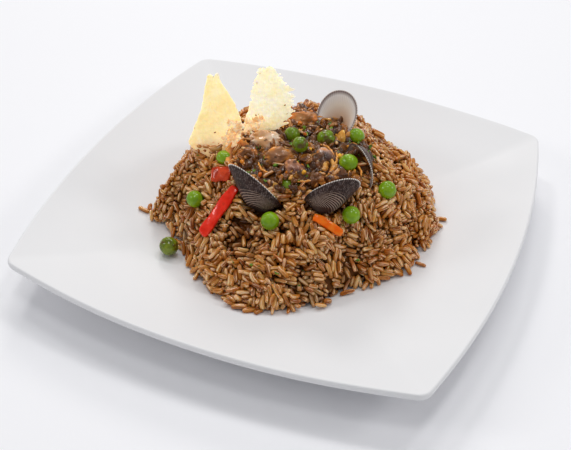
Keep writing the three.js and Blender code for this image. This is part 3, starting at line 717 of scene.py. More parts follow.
def shellFinish():
    shell = Finish("clamShell", IOR=1.22, Coat_Roughness=0.15)
    rib, share, inside = shell.mark("rib"), shell.mark("share"), shell.mark("inside")
    cloud = shell.cloud(150.0, 3.0, 0.32, 0.68)
    growth = shell.scaled(shell.node("ShaderNodeCombineXYZ", {}, {"X": share}), (16.0, 1, 1))
    band = shell.range(shell.noise(1.0, 2.0, growth), 0.35, 0.65)
    dark = shell.mix(cloud, (0.012, 0.005, 0.004), (0.040, 0.021, 0.019))
    dark = shell.mix(band * 0.5, dark, (0.055, 0.024, 0.015))
    grit = shell.cloud(620.0, 2.0, 0.52, 0.66) * shell.range(share, 0.55, 0.85)
    dark = shell.mix(grit * 0.35, dark, (0.17, 0.13, 0.13))
    bead = shell.range(rib, 0.4, 0.9) * shell.cloud(900.0, 1.0, 0.46, 0.60)
    dark = shell.mix(bead * shell.range(share, 0.35, 0.6) * 0.5, dark, (0.22, 0.16, 0.14))
    # pale lines run lengthwise over the flank: they fan out from the beak
    fan = shell.mark("fan")
    line = shell.range((fan * shells["lines"]).math("SINE"), 0.5, 1.05) * shell.range(fan, 0.26, 0.42)
    line = line * shell.range(share, 0.24, 0.42) * shell.range(share, 0.86, 0.66, 0.0, 1.0)
    line = line * shell.cloud(90.0, 2.0, 0.30, 0.50, 0.45, 1.0)
    outside = shell.mix(line, dark, (0.50, 0.35, 0.26))
    outside = shell.mix(shell.range(share, 0.30, 0.04) * 0.8, outside, (0.19, 0.12, 0.085))
    rim = shell.range(share, 0.975, 0.995) * shell.range(rib, 0.3, 0.7)
    outside = shell.mix(rim, outside, (0.95, 0.88, 0.80))
    lining = shell.ramp(share, [
        (0.0, (0.46, 0.20, 0.09)), (0.45, (0.74, 0.46, 0.28)), (0.75, (0.96, 0.84, 0.72)), (0.93, (0.94, 0.88, 0.84)),
        (1.0, (0.24, 0.17, 0.16))])
    furrow = shell.range(rib, 0.0, 0.6, 0.35, 0.0) * shell.range(share, 0.7, 0.95)
    lining = shell.mix(furrow, lining, (0.20, 0.15, 0.14))
    shell.feed("Base Color", shell.mix(inside, outside, lining))
    shell.feed("Roughness", inside * -0.16 + shell.range(cloud, 0.0, 1.0, 0.38, 0.5))
    shell.feed("Coat Weight", inside * 0.3 + 0.16)
    shell.bump(shell.noise(800.0, 3.0), 0.0002, 0.4)
    return shell


def makeShells():
    finish = shellFinish()
    for name, spec in shells["places"].items():
        grid, marks = shellSkin(spec["length"], spec["width"], spec["bulge"])
        ways = [sum(w * d for w, d in zip(spec[key], (viewRight, viewUp, viewEye))) for key in ("farWay", "backWay")]
        back = unit(ways[1])
        far = unit(ways[0] - (ways[0] @ back) * back)
        turn = np.stack([far, np.cross(back, far), back])
        grid = np.array(spec["middle"]) + grid @ turn
        makePiece(name + "_ribbed", grid, finish, [name], "shell", **marks)
        outer, inner = grid[4:50:5, ::12], grid[51:][::-1][1:26:3, ::12]
        solid.append(balls(outer, 0.5))
        solid.append(balls(inner, 0.5))
        if name in shells["bare"]:
            guarded.append(grid[6:46:4, ::10].reshape(-1, 3))


makeShells()
print("shells made")

# cheese wafers: thin crisps standing in the rice; edges = (height, left, right)
wafers = {"crumbs": 150, "rows": 90, "columns": 56, "places": {
    "wafer_left": {"foot": (-40.5, -18.8, 58.1), "azimuth": 10, "lean": 14, "bend": 1.6, "seed": 31,
                   "crumb": (slice(14, 44), slice(38, 55)),
                   "jag": (0.10, 0.14, 1.0), "lace": 0.0, "notch": (-2.4, 5.6),
                   "edges": [(-5.0, -2.0, 1.6), (0.5, -12.7, 8.2), (4, -14.9, 11.9), (8, -13.3, 13.6),
                             (12, -12.0, 15.0), (17, -10.5, 15.9), (22, -8.9, 14.5), (28, -7.7, 11.5), (34, -7.2, 7.0),
                             (39.5, -6.3, 2.6), (45, -5.4, 1.0)],
                   "tones": ((1.0, 0.71, 0.36), (1.0, 0.83, 0.54), (0.92, 0.52, 0.22))},
    "wafer_right": {"foot": (-20.8, 1.1, 63.5), "azimuth": 28, "lean": 12, "bend": -1.8, "seed": 32,
                    "crumb": (slice(10, 30), slice(2, 24)),
                    "jag": (0.10, 1.5, 1.3), "lace": 1.0, "notch": (3.0, 1.6),
                    "edges": [(-4.5, -10.4, 0.4), (0, -10.2, 9.4), (4, -9.9, 14.3), (8, -9.2, 17.8), (12, -7.9, 19.3),
                              (16, -6.6, 18.6), (21, -5.9, 19.0), (26, -5.3, 18.2), (31, -3.7, 13.4), (36, -2.0, 11.0),
                              (39.5, 0.2, 5.4)],
                    "tones": ((1.0, 0.82, 0.52), (1.0, 0.94, 0.78), (0.92, 0.62, 0.30))},
}}


def waferFinish(name, tones, lace):
    # toasted cheese: cream with golden patches, browned low down, pinholes and a few dark specks; it gives off its own
    # colour, a painted glow
    deep, pale, toast = tones
    wafer = Finish(name, IOR=1.38, soft=(0.9, 0.004, (1.0, 0.75, 0.4)), Emission_Strength=0.37)
    edge, height = wafer.mark("edge"), wafer.mark("height")
    cloud = wafer.range(wafer.noise(110.0, 4.0, roughness=0.65), 0.25, 0.75)
    grain = wafer.noise(520.0, 3.0)
    skin = wafer.mix(cloud, deep, pale)
    skin = wafer.mix(wafer.range(height, 0.34, 0.02) * wafer.range(grain, 0.3, 0.6, 0.35, 0.9), skin, toast)
    speck = wafer.cloud(330.0, 1.0, 0.735, 0.76)
    skin = wafer.mix(speck * 0.9, skin, (0.16, 0.09, 0.03))
    wafer.feed("Base Color", skin)
    wafer.feed("Emission Color", skin)  # painted glow: the crisp gives off its own colour, in place of light shining through from behind
    wafer.feed("Roughness", wafer.range(cloud, 0.0, 1.0, 0.42, 0.6))
    holes = wafer.noise(430.0, 2.0)
    limit = wafer.range(edge, 0.0, 0.32, 0.36 + 0.18 * lace, 0.27)
    wafer.feed("Alpha", (holes - limit).math("GREATER_THAN", 0.0))
    wafer.bump(grain + wafer.noise(210.0, 2.0) * 1.6, 0.0012, 0.7)
    return wafer


def makeWafers():
    # (u, height) in its own plane; bend * (cos(pi u / 24) - 0.4) * cos(height / 30) out of it; edges and
    # top are made ragged by wave noise
    crumbs, rows, cols = [], wafers["rows"], wafers["columns"]
    for name, spec in wafers["places"].items():
        table = np.array(spec["edges"], float)
        top, foot = table[-1, 0], table[0, 0]
        level = foot + (top - foot) * np.linspace(0, 1, rows)
        left, right = np.interp(level, table[:, 0], table[:, 1]), np.interp(level, table[:, 0], table[:, 2])
        jagLeft, jagRight, jagTop = spec["jag"]
        seed = spec["seed"]
        line = np.stack([level, 0 * level, 0 * level], -1)
        left = left - jagLeft * (waveNoise(line, 2.6, seed) + 0.6 * waveNoise(line, 1.3, seed + 1)) + 0.3 * jagLeft
        bites = waveNoise(line, 3.2, seed + 2) + 0.7 * waveNoise(line, 1.5, seed + 3)
        right = right + jagRight * bites - 0.3 * jagRight
        across = np.linspace(0, 1, cols)
        share = np.concatenate([across, across[::-1]])
        face = np.repeat([-1.0, 1.0], cols)
        u = left[:, None] + (right - left)[:, None] * share
        ragged = jagTop * waveNoise(np.stack([u, 0 * u + 5, 0 * u], -1), 2.4, seed + 4)
        lift = np.clip((level - (top - 9)) / 9, 0, 1)[:, None]
        ragged = np.minimum(ragged, 0.5) - 0.5 - spec["notch"][1] * np.exp(-((u - spec["notch"][0]) / 0.9) ** 2)
        z = level[:, None] + ragged * lift
        bow = spec["bend"] * (np.cos(math.pi * u / 24) - 0.4) * np.cos(z / 30)
        sheet = np.stack([u, z, 0 * u], -1)
        wavy = 0.5 * waveNoise(sheet, 11, seed + 5) + 0.22 * waveNoise(sheet, 4, seed + 6)
        sides = np.minimum(share + 1 - spec["lace"], 1 - share) * (right - left)[:, None]
        inEdge = np.minimum(np.minimum(share, 1 - share) * (right - left)[:, None], (top - z) * 0.8)
        pitted = 0.09 * waveNoise(np.stack([u, z, 40 * face + 0 * u], -1), 2.2, seed + 7)
        thick = 0.18 + 0.42 * np.clip(inEdge / 1.2, 0, 1) ** 0.5 + pitted
        flat = np.stack([u, bow + wavy * 0.8 + face * thick, z], -1)
        a, lean = math.radians(spec["azimuth"]), math.radians(-spec["lean"])
        turnX = np.array([[1, 0, 0], [0, math.cos(lean), -math.sin(lean)], [0, math.sin(lean), math.cos(lean)]])
        turnZ = np.array([[math.cos(a), -math.sin(a), 0], [math.sin(a), math.cos(a), 0], [0, 0, 1]])
        grid = np.array(spec["foot"]) + flat @ (turnZ @ turnX).T
        inward = np.clip(np.minimum(sides, (top - z) * 0.8) / 9, 0, 1)
        finish = waferFinish(name + "_crisp", spec["tones"], spec["lace"])
        makePiece(name + "_crisp", grid, finish, [name], "wafer",
                  edge=inward, height=(z - foot) / (top - foot))
        solid.append(balls(grid[:50:5, 2:54:5], 0.7))
        crumbs.append(grid[:, :cols][spec["crumb"]].reshape(-1, 3))
        low = grid[2:18:3, 2:54:4]  # the rice leaves the foot of the wafer in view
        solid.append(balls(np.concatenate([low + viewEye * 2.2, low + viewEye * 4.4]), 1.0))
    # baked crumbs stick to the feet of the wafers
    chance = np.random.default_rng(37)
    spots = np.concatenate(crumbs)
    spots = spots[chance.choice(len(spots), wafers["crumbs"], replace=False)]
    spots = spots + viewEye * chance.uniform(0.2, 1.0, (len(spots), 1)) + chance.normal(0, 0.5, spots.shape)
    size = chance.uniform(0.45, 1.3, (len(spots), 1)) * chance.uniform(0.7, 1.2, (len(spots), 3))
    # painted glow: the crumbs give off their own colour, so that they look lit
    crumb = Finish("bakedCrumb", IOR=1.3, soft=(0.6, 0.003, (1.0, 0.6, 0.3)), Emission_Strength=0.22)
    tone = crumb.cloud(300.0, 3.0, 0.3, 0.7)
    for socket in ("Base Color", "Emission Color"):
        crumb.feed(socket, crumb.mix(tone, (0.84, 0.50, 0.22), (1.0, 0.86, 0.62)))
    crumb.feed("Roughness", crumb.range(tone, 0.0, 1.0, 0.4, 0.6))
    crumb.bump(crumb.noise(700.0, 2.0), 0.0008, 0.6)
    makePiece("wafer_crumbs", blobSkins(spots, size, 6, 10, 0.3, 0.85, 38), crumb,
              ["wafer_left", "wafer_right"], "wafer")


makeWafers()
print("wafers made")

# clam ragout: a saucy layer over the top of the rice, with clam meat, onion, carrot and herbs in it
ragout = {"centre": (7, 0), "reach": 33.1, "waves": [(1, 0.7, -0.8), (2, 0, 3.1), (3, 3.0, -2.0), (4, 1.1, 1.5)],
          "depth": 5.0, "cover": 0.9, "chunks": 230, "onions": 34, "carrots": 40, "rice": 30, "herbs": 70,
          "veiled": 11, "veil": [(-3.4, 1.2), (-3.0, 3.4), (-0.6, 4.2), (2.2, 3.6), (3.6, 1.6), (-4.2, -1.2),
                                 (3.2, -1.6), (0.6, -3.4), (-2.2, -3.0)]}


def ragoutReach(angle):
    return ragout["reach"] + waves(ragout["waves"], angle)


def sauceFinish(name, dark, light, roughness):
    sauce = Finish(name, IOR=1.3, Coat_Roughness=0.05)
    cloud = sauce.cloud(260.0, 3.0, 0.35, 0.68)
    sauce.feed("Base Color", sauce.mix(cloud, dark, light))
    sauce.feed("Roughness", sauce.cloud(420.0, 2.0, 0.35, 0.65, roughness, roughness + 0.16))
    sauce.feed("Coat Weight", sauce.cloud(180.0, 1.0, 0.3, 0.5, 0.2, 1.0))
    sauce.bump(sauce.noise(700.0, 3.0), 0.0012, 0.6)
    return sauce


def makeSauce():
    # dome + cover + lumps of about 7, 3 and 1.6 mm; below it runs back under the surface
    angle = np.arange(220) / 220 * tau

    def loop(share, lift):
        reach = share * ragoutReach(angle) * (1 + 0.03 * np.sin(9 * angle) + 0.02 * np.sin(17 * angle + 1))
        x, y = polar(ragout["centre"], reach, angle)
        flat = np.stack([x, y, 0 * x], -1)
        lumps = 1.1 * waveNoise(flat, 7, 41) + 0.6 * waveNoise(flat, 3.2, 42) + 0.2 * waveNoise(flat, 1.6, 43)
        lumps = lumps * min(1, (1 - share) * 6 + 0.2)
        return np.stack([x, y, dome(x, y) + lift + lumps], -1)

    rows = [loop(s, -ragout["depth"] * d) for s, d in ((0.05, 1), (0.5, 1), (0.85, 0.8), (0.97, 0.5))]
    rows += [loop(s, ragout["cover"] - 1.4 * s ** 12) for s in np.linspace(1, 0.02, 64)]
    finish = sauceFinish("darkSauce", (0.045, 0.014, 0.0015), (0.22, 0.075, 0.009), 0.14)
    makePiece("ragout_sauce", np.array(rows), finish, ["clam_ragout"], "ragout")
    solid.append(balls(np.array(rows[4:])[1:50:4, ::6] - [0, 0, 1.0], 1.0))


def onRagout(total, seed, high, lift):
    # spots on the ragout, clear of the peas, and how far each stands over the sauce
    chance = np.random.default_rng(seed)
    angle = chance.uniform(0, tau, total * 2)
    share = np.sqrt(chance.uniform(0, high ** 2, total * 2))
    x, y = polar(ragout["centre"], share * ragoutReach(angle), angle)
    spots = np.stack([x, y, dome(x, y)], -1)
    spots += slopeUp(x, y) * (ragout["cover"] + chance.uniform(*lift, len(x)))[:, None]
    pea = np.array(peas["spots"])
    near = np.linalg.norm(spots[:, None] - pea[None, :, :3], axis=-1) - pea[None, :, 3]
    return spots[near.min(1) > 0.2][:total]


def makeRagoutBits():
    chance = np.random.default_rng(81)
    # minced bits, dark to mid brown
    spots = onRagout(ragout["chunks"], 82, 1.03, (-1.4, 0.5))
    size = chance.uniform(1.4, 3.9, (len(spots), 1)) * chance.uniform(0.5, 1.2, (len(spots), 3))
    size[:, 2] *= 0.55
    # some half cover the pea at the front
    pea = np.array(peas["spots"][ragout["veiled"]][:3])
    veil = np.array([pea + viewEye * 3.4 + viewRight * x + viewUp * y for x, y in ragout["veil"]])
    spots, size = np.concatenate([spots, veil]), np.concatenate([size, chance.uniform(1.0, 2.0, (len(veil), 3))])
    grid = blobSkins(spots, size, 10, 18, 0.42, 0.9, 83)
    tone = chance.random((len(spots), 1, 1)) ** 2.2
    mince = Finish("mincedBits", IOR=1.3, Coat_Roughness=0.06, soft=(0.15, 0.002, (1.0, 0.4, 0.12)))
    cloud = mince.cloud(350.0, 3.0, 0.3, 0.7)
    level = mince.mark("tone") * 0.75 + cloud * 0.3
    mince.feed("Base Color", mince.ramp(level, [
        (0.0, (0.045, 0.012, 0.002)), (0.4, (0.20, 0.062, 0.008)), (0.7, (0.50, 0.18, 0.022)),
        (1.0, (0.90, 0.46, 0.11))]))
    mince.feed("Roughness", mince.range(cloud, 0.0, 1.0, 0.16, 0.34))
    mince.feed("Coat Weight", mince.range(cloud, 0.0, 1.0, 1.0, 0.5))
    mince.bump(mince.noise(700.0, 3.0), 0.0012, 0.6)
    makePiece("ragout_mince", grid, mince, ["clam_ragout"], "ragout", tone=tone)

    # slivers of soft onion: short curved ribbons
    spots = onRagout(ragout["onions"], 84, 1.0, (0.2, 1.5))
    count = len(spots)
    turn = chance.uniform(0, tau, count)
    up = unit(slopeUp(spots[:, 0], spots[:, 1]) + chance.normal(0, 0.35, (count, 3)))
    first = unit(np.cross(up, np.stack([np.cos(turn), np.sin(turn), 0 * turn], -1)))
    second = np.cross(up, first)
    long = chance.uniform(2.2, 5.0, count)
    slivers = []
    for i in range(count):
        s = np.linspace(-1, 1, 9)[:, None]
        arc = chance.uniform(0.2, 1.1)
        bow = first[i] * np.sin(s * arc) / arc + second[i] * (np.cos(s * arc) - 1) / arc
        path = spots[i] + long[i] * bow + up[i] * 0.5 * np.cos(s * 2)
        width, thickness = chance.uniform(1.8, 3.2), chance.uniform(0.6, 0.9)
        slivers.append(ribbonSkin(path, up[i] + 0 * path, width, thickness, 8, 0.8, 3))
    onion = Finish("softOnion", IOR=1.2, Coat_Weight=0.9, Coat_Roughness=0.05, soft=(0.4, 0.002, (1.0, 0.6, 0.2)))
    amber = onion.cloud(210.0, 2.0, 0.35, 0.65)
    onion.feed("Base Color", onion.mix(amber, (0.30, 0.10, 0.012), (0.80, 0.38, 0.06)))
    onion.feed("Roughness", onion.range(amber, 0.0, 1.0, 0.18, 0.3))
    makePiece("ragout_onion", np.array(slivers), onion, ["clam_ragout"], "ragout")

    # diced carrot
    spots = onRagout(ragout["carrots"], 86, 0.95, (0.3, 1.5))
    size = chance.uniform(0.7, 1.35, (len(spots), 1)) * chance.uniform(0.75, 1.15, (len(spots), 3))
    grid = blobSkins(spots, size, 6, 12, 0.07, 0.55, 87)
    tone = chance.random((len(spots), 1, 1))
    dice = Finish("dicedCarrot", IOR=1.2, Coat_Weight=0.6, Coat_Roughness=0.08)
    dice.feed("Base Color", dice.ramp(dice.mark("tone") * 0.8 + dice.noise(400.0, 2.0) * 0.25, [
        (0.1, (0.60, 0.13, 0.010)), (0.5, (0.88, 0.30, 0.018)), (0.9, (0.95, 0.52, 0.05))]))
    dice.feed("Roughness", dice.cloud(500.0, 2.0, 0.3, 0.7, 0.2, 0.38))
    makePiece("ragout_carrot", grid, dice, ["clam_ragout"], "ragout", tone=tone)


# clam meat: lumps with a dent and a frilled edge; centre, half sizes along right, up and eye, turn
meats = {
    "clam_meat_pale": {"centre": (-13.5, -6.2, 64.8), "half": (9.6, 5.4, 5.0), "turn": -8, "dent": 0.15,
                       "tones": ((0.80, 0.46, 0.21), (0.95, 0.74, 0.56)), "rim": (0.66, 0.28, 0.07)},
    "clam_meat_open": {"centre": (-19.6, -20.6, 61.0), "half": (6.6, 5.6, 4.6), "turn": 35, "dent": 0.95,
                       "tones": ((0.08, 0.025, 0.008), (0.26, 0.10, 0.03)), "rim": (0.80, 0.27, 0.045)},
    "clam_meat_rear": {"centre": (-4.0, 20.2, 65.1), "half": (8.0, 5.2, 5.2), "turn": 12, "dent": 0.2,
                       "tones": ((0.34, 0.13, 0.035), (0.62, 0.31, 0.12)), "rim": (0.78, 0.25, 0.04)},
    "clam_meat_shiny": {"centre": (20.9, -7.1, 64.7), "half": (5.8, 4.6, 4.6), "turn": -35, "dent": 0.1,
                        "tones": ((0.12, 0.075, 0.065), (0.66, 0.50, 0.44)), "rim": (0.76, 0.27, 0.05)},
    "clam_meat_amber": {"centre": (22.6, 12.6, 65.4), "half": (2.6, 4.0, 2.6), "turn": -20, "dent": 0.0,
                        "tones": ((0.66, 0.26, 0.03), (0.88, 0.48, 0.09)), "rim": (0.72, 0.30, 0.04)},
    "clam_meat_front": {"centre": (-3.6, -14.6, 62.8), "half": (8.2, 5.0, 5.0), "turn": 15, "dent": 0.4,
                        "tones": ((0.16, 0.065, 0.025), (0.42, 0.20, 0.09)), "rim": (0.90, 0.33, 0.04)},
    "clam_meat_low": {"centre": (8.1, -20.4, 61.0), "half": (5.6, 5.0, 4.4), "turn": -30, "dent": 0.35,
                      "tones": ((0.20, 0.085, 0.060), (0.46, 0.22, 0.14)), "rim": (0.80, 0.32, 0.09)},
}


def makeMeats():
    # half * (1 + 0.09 sin(3u + half) sin v + 0.05 sin(2u + 5v)), folded by fine waves; a bell-shaped dent
    # on the side towards the view leaves a raised rim round it
    u = np.arange(84) / 84 * tau
    v = np.linspace(0, math.pi, 62)[1:-1, None]
    for index, (name, spec) in enumerate(meats.items()):
        a, b, c = spec["half"]
        size = 1 + 0.09 * np.sin(3 * u + a) * np.sin(v) + 0.05 * np.sin(2 * u + 5 * v)
        flat = ballWays(len(v), len(u)) * [1, 1, -1]
        place = flat + 3 * index
        folds = 0.07 * waveNoise(place, 1.1, 90 + index) + 0.012 * waveNoise(place, 0.4, 97 + index)
        frill = np.exp(-((v - 2.05) / 0.22) ** 2) * (0.5 + 0.5 * np.sin(u * 11 + 2 * np.sin(2 * u)))
        size = size + folds + 0.08 * frill * (spec["dent"] > 0.12)
        dent = spec["dent"] * 0.85 * np.exp(-((math.pi - v) / 0.72) ** 2)
        flat = flat * size[..., None]
        flat[..., 2] -= dent
        flat = flat * [a, b, c]
        turn = math.radians(spec["turn"])
        x = flat[..., 0] * math.cos(turn) - flat[..., 1] * math.sin(turn)
        y = flat[..., 0] * math.sin(turn) + flat[..., 1] * math.cos(turn)
        grid = (np.array(spec["centre"]) + x[..., None] * viewRight + y[..., None] * viewUp
                + flat[..., 2:] * viewEye)
        rim = np.exp(-((v - 2.15) / 0.30) ** 2) * (0.7 + 0.3 * np.sin(5 * u + index))
        meat = Finish(name + "_flesh", IOR=1.2, Coat_Roughness=0.05, soft=(0.25, 0.003, (1.0, 0.5, 0.3)))
        low, high = spec["tones"]
        cloud = meat.cloud(170.0, 3.0, 0.35, 0.66)
        skin = meat.mix(cloud, low, high)
        edge = meat.mark("rim") * meat.cloud(240.0, 2.0, 0.32, 0.55)
        skin = meat.mix(edge.clamped(), skin, spec["rim"])
        sauce = meat.cloud(230.0, 3.0, 0.60, 0.70)
        meat.feed("Base Color", meat.mix(sauce * 0.8, skin, (0.040, 0.016, 0.006)))
        meat.feed("Roughness", meat.range(cloud, 0.0, 1.0, 0.30, 0.20))
        meat.feed("Coat Weight", meat.range(cloud, 0.0, 1.0, 0.5, 1.0))
        meat.bump(meat.noise(420.0, 3.0), 0.0005, 0.4)
        makePiece(name + "_flesh", grid, meat, [name], "clam_meat", rim=rim)


# mantle edges of the clams: thin ruffled ribbons, orange at their free edge; points lie on the dome
frills = {
    "paths": [
        ([(-21.2, -14.0), (-27.4, -14.9), (-29.8, -20.6), (-26.4, -26.6), (-20.6, -28.4)], 4.8, 1.1),
        ([(-9.9, -14.7), (-7.4, -9.9), (-1.8, -7.6), (3.6, -11.0)], 2.4, 0.35),
        ([(2.1, -24.2), (3.1, -19.0), (6.4, -15.3), (11.4, -17.9)], 2.2, 0.35),
        ([(24.4, 0.4), (27.6, -6.2), (28.4, -13.0), (26.9, -18.8)], 2.4, 0.35),
        ([(14.4, 1.3), (19.4, 0.6), (25.0, -3.6)], 2.0, 0.35),
        ([(-2.2, 17.6), (1.2, 23.9), (5.9, 27.6)], 2.4, 0.35),
        ([(39.0, -5.0), (41.6, -6.6), (43.0, -9.6)], 2.2, 0.35),
        ([(-12.0, -22.4), (-8.0, -26.0), (-2.6, -26.4)], 2.0, 0.35),
        ([(12.4, -27.6), (17.6, -26.2), (22.6, -23.4)], 2.0, 0.35),
    ],
    "lift": 1.7, "stations": 70,
}


def makeFrills():
    # the section stands on edge and leans outwards; its top edge sways by 0.75 sin(1.9 s) + 0.4 sin(4.3 s)
    strips, marks = [], []
    for index, (points, width, tilt) in enumerate(frills["paths"]):
        flat = np.array(points, float)
        spot = np.concatenate([flat, (dome(flat[:, 0], flat[:, 1]) + frills["lift"])[:, None]], 1)
        path = smoothPath(spot, frills["stations"])
        along = unit(np.gradient(path, axis=0))
        out = slopeUp(path[:, 0], path[:, 1])
        run = np.concatenate([[0], np.cumsum(np.linalg.norm(np.diff(path, axis=0), axis=1))])
        sway = 0.75 * np.sin(1.9 * run + index) + 0.4 * np.sin(4.3 * run + 2 * index)
        side = np.cross(out, along)
        lean = unit(side + (tilt + 0.3 * sway)[:, None] * out)
        body = ribbonSkin(path, lean, 1.15 * width * (1 + 0.12 * np.sin(3 * run)), 1.2, 16, 0.8, 4)
        height = ((body - path[:, None]) * out[:, None]).sum(-1) / width
        body = body + side[:, None] * (height * sway[:, None] * 1.1)[..., None]
        strips.append(body)
        marks.append(height)
    mantle = Finish("mantleEdge", IOR=1.2, Coat_Roughness=0.05, soft=(0.3, 0.002, (1.0, 0.5, 0.25)))
    level = mantle.mark("height") + (mantle.noise(260.0, 2.0) - 0.5) * 0.8
    mantle.feed("Base Color", mantle.ramp(level + 0.5, [
        (0.2, (0.16, 0.055, 0.020)), (0.5, (0.56, 0.19, 0.05)), (0.9, (0.92, 0.38, 0.07))]))
    mantle.feed("Roughness", mantle.cloud(400.0, 1.0, 0.3, 0.7, 0.18, 0.3))
    mantle.feed("Coat Weight", mantle.cloud(200.0, 1.0, 0.3, 0.7, 0.5, 1.0))
    mantle.bump(mantle.noise(700.0, 2.0), 0.0005, 0.5)
    makePiece("mantle_edges", np.array(strips), mantle, ["clam_ragout"], "clam_meat", height=np.array(marks))


makeSauce()
makeRagoutBits()
makeMeats()
makeFrills()
print("ragout made")

# herbs: torn leaf flakes, a few on the rice and more in the ragout
herbs = {"onRice": [(-8.0, -65.0), (11.3, -69.2), (20.7, -70.9), (53.3, -39.1), (-3.0, -69.6), (4.1, -68.5),
                    (15.3, 19.4), (1.5, 20.3), (12.5, -23.5), (13.0, -4.9)], "strayed": 22, "near": 2.5}


def makeHerbs(grain, thickness):
    # a flake: an ellipse 0.18 mm thick with a toothed outline; height 0.3 x^2 / long - 0.25 y^2
    chance = np.random.default_rng(120)
    named = np.array(herbs["onRice"])
    stray = scatterOnDome(herbs["strayed"])[:, :2]
    flat = np.concatenate([named, stray])
    # each lies on the outermost grain beside its place
    off, out = offDome(grain)
    apart = np.hypot(flat[:, None, 0] - grain[None, :, 0], flat[:, None, 1] - grain[None, :, 1])
    best = np.argmax(np.where(apart < herbs["near"], off + thickness, -50 - apart), 1)
    spots = grain[best] + out[best] * (thickness[best, None] + 0.15)
    spots = np.concatenate([spots, onRagout(ragout["herbs"], 121, 1.0, (0.5, 1.7))])
    count = len(spots)
    up = unit(slopeUp(spots[:, 0], spots[:, 1]) + chance.normal(0, 0.5, (count, 3)))
    first = unit(np.cross(up, chance.normal(size=(count, 3))))
    second = np.cross(up, first)
    long, wide = chance.uniform(0.7, 1.9, (count, 1, 1)), chance.uniform(0.4, 1.0, (count, 1, 1))
    v = np.arange(12) / 12 * tau
    radius = np.array([0.3, 0.75, 1.0, 0.75, 0.3])[:, None]
    level = np.array([-1, -0.9, 0, 0.9, 1])[:, None] * 0.09
    tooth = 1 + 0.22 * np.sin(5 * v + chance.uniform(0, tau, (count, 1, 1)))
    x, y = long * radius * tooth * np.cos(v), wide * radius * tooth * np.sin(v)
    z = level + 0.3 * x ** 2 / long - 0.25 * y ** 2
    grid = (spots[:, None, None] + first[:, None, None] * x[..., None] + second[:, None, None] * y[..., None]
            + up[:, None, None] * z[..., None])
    leaf = Finish("herbLeaf", IOR=1.25, Coat_Weight=0.3)
    shade = leaf.cloud(300.0, 2.0, 0.3, 0.7)
    leaf.feed("Base Color", leaf.mix(shade, (0.05, 0.10, 0.006), (0.20, 0.36, 0.020)))
    leaf.feed("Roughness", leaf.range(shade, 0.0, 1.0, 0.3, 0.5))
    makePiece("herb_flakes", grid, leaf, ["clam_ragout"], "ragout")


# rice grains: laid in the heap's skin, pushed apart until they touch, then thickened so that they stick together
grains = {"spilled": [(-77.8, -33.6), (-76.0, -30.6), (-74.2, -34.4), (-72.4, -31.6), (-71.2, -35.0), (-69.6, -28.8),
                      (-68.2, -33.0), (-35.0, -62.4), (-31.6, -64.4), (42.2, -65.4), (43.4, -61.6), (79.6, 28.2)],
          "count": 5100, "loose": 70, "clusters": 380, "clumps": 84, "layer": 6.6, "halfLength": (3.1, 4.5),
          "radius": (0.98, 1.30), "rounds": 56, "columns": 8, "rings": 7, "balls": 4, "swollen": 1.16,
          "stray": 0.13, "short": 0.14, "shortened": 0.72, "kinds": [0.34, 0.26, 0.18, 0.22],
          "hole": 30, "clumpLift": 2.8, "clumpSink": 6.5, "clumpEdge": 7.5, "clusterSink": 1.2, "clusterEdge": 4,
          "cleared": {"from": 0.5, "to": 8, "beside": 1.5}}


def closePairs(points, reach):
    # pairs nearer than about reach: points are sorted into cubes of that size, and a cube meets its neighbours
    cell = np.floor(points / reach).astype(np.int64)
    cell -= cell.min(0) - 1
    span = cell.max(0) + 2
    key = (cell[:, 0] * span[1] + cell[:, 1]) * span[2] + cell[:, 2]
    order = np.argsort(key, kind="stable")
    ranked = key[order]
    steps = [(x, y, z) for x in (-1, 0, 1) for y in (-1, 0, 1) for z in (-1, 0, 1) if (x, y, z) >= (0, 0, 0)]
    firsts, seconds = [], []
    for x, y, z in steps:
        wanted = key + (x * span[1] + y) * span[2] + z
        start = np.searchsorted(ranked, wanted, "left")
        count = np.searchsorted(ranked, wanted, "right") - start
        first = np.repeat(np.arange(len(points)), count)
        within = np.arange(count.sum()) - np.repeat(np.cumsum(count) - count, count)
        second = order[np.repeat(start, count) + within]
        keep = second > first if (x, y, z) == (0, 0, 0) else slice(None)
        firsts.append(first[keep])
        seconds.append(second[keep])
    return np.concatenate(firsts), np.concatenate(seconds)


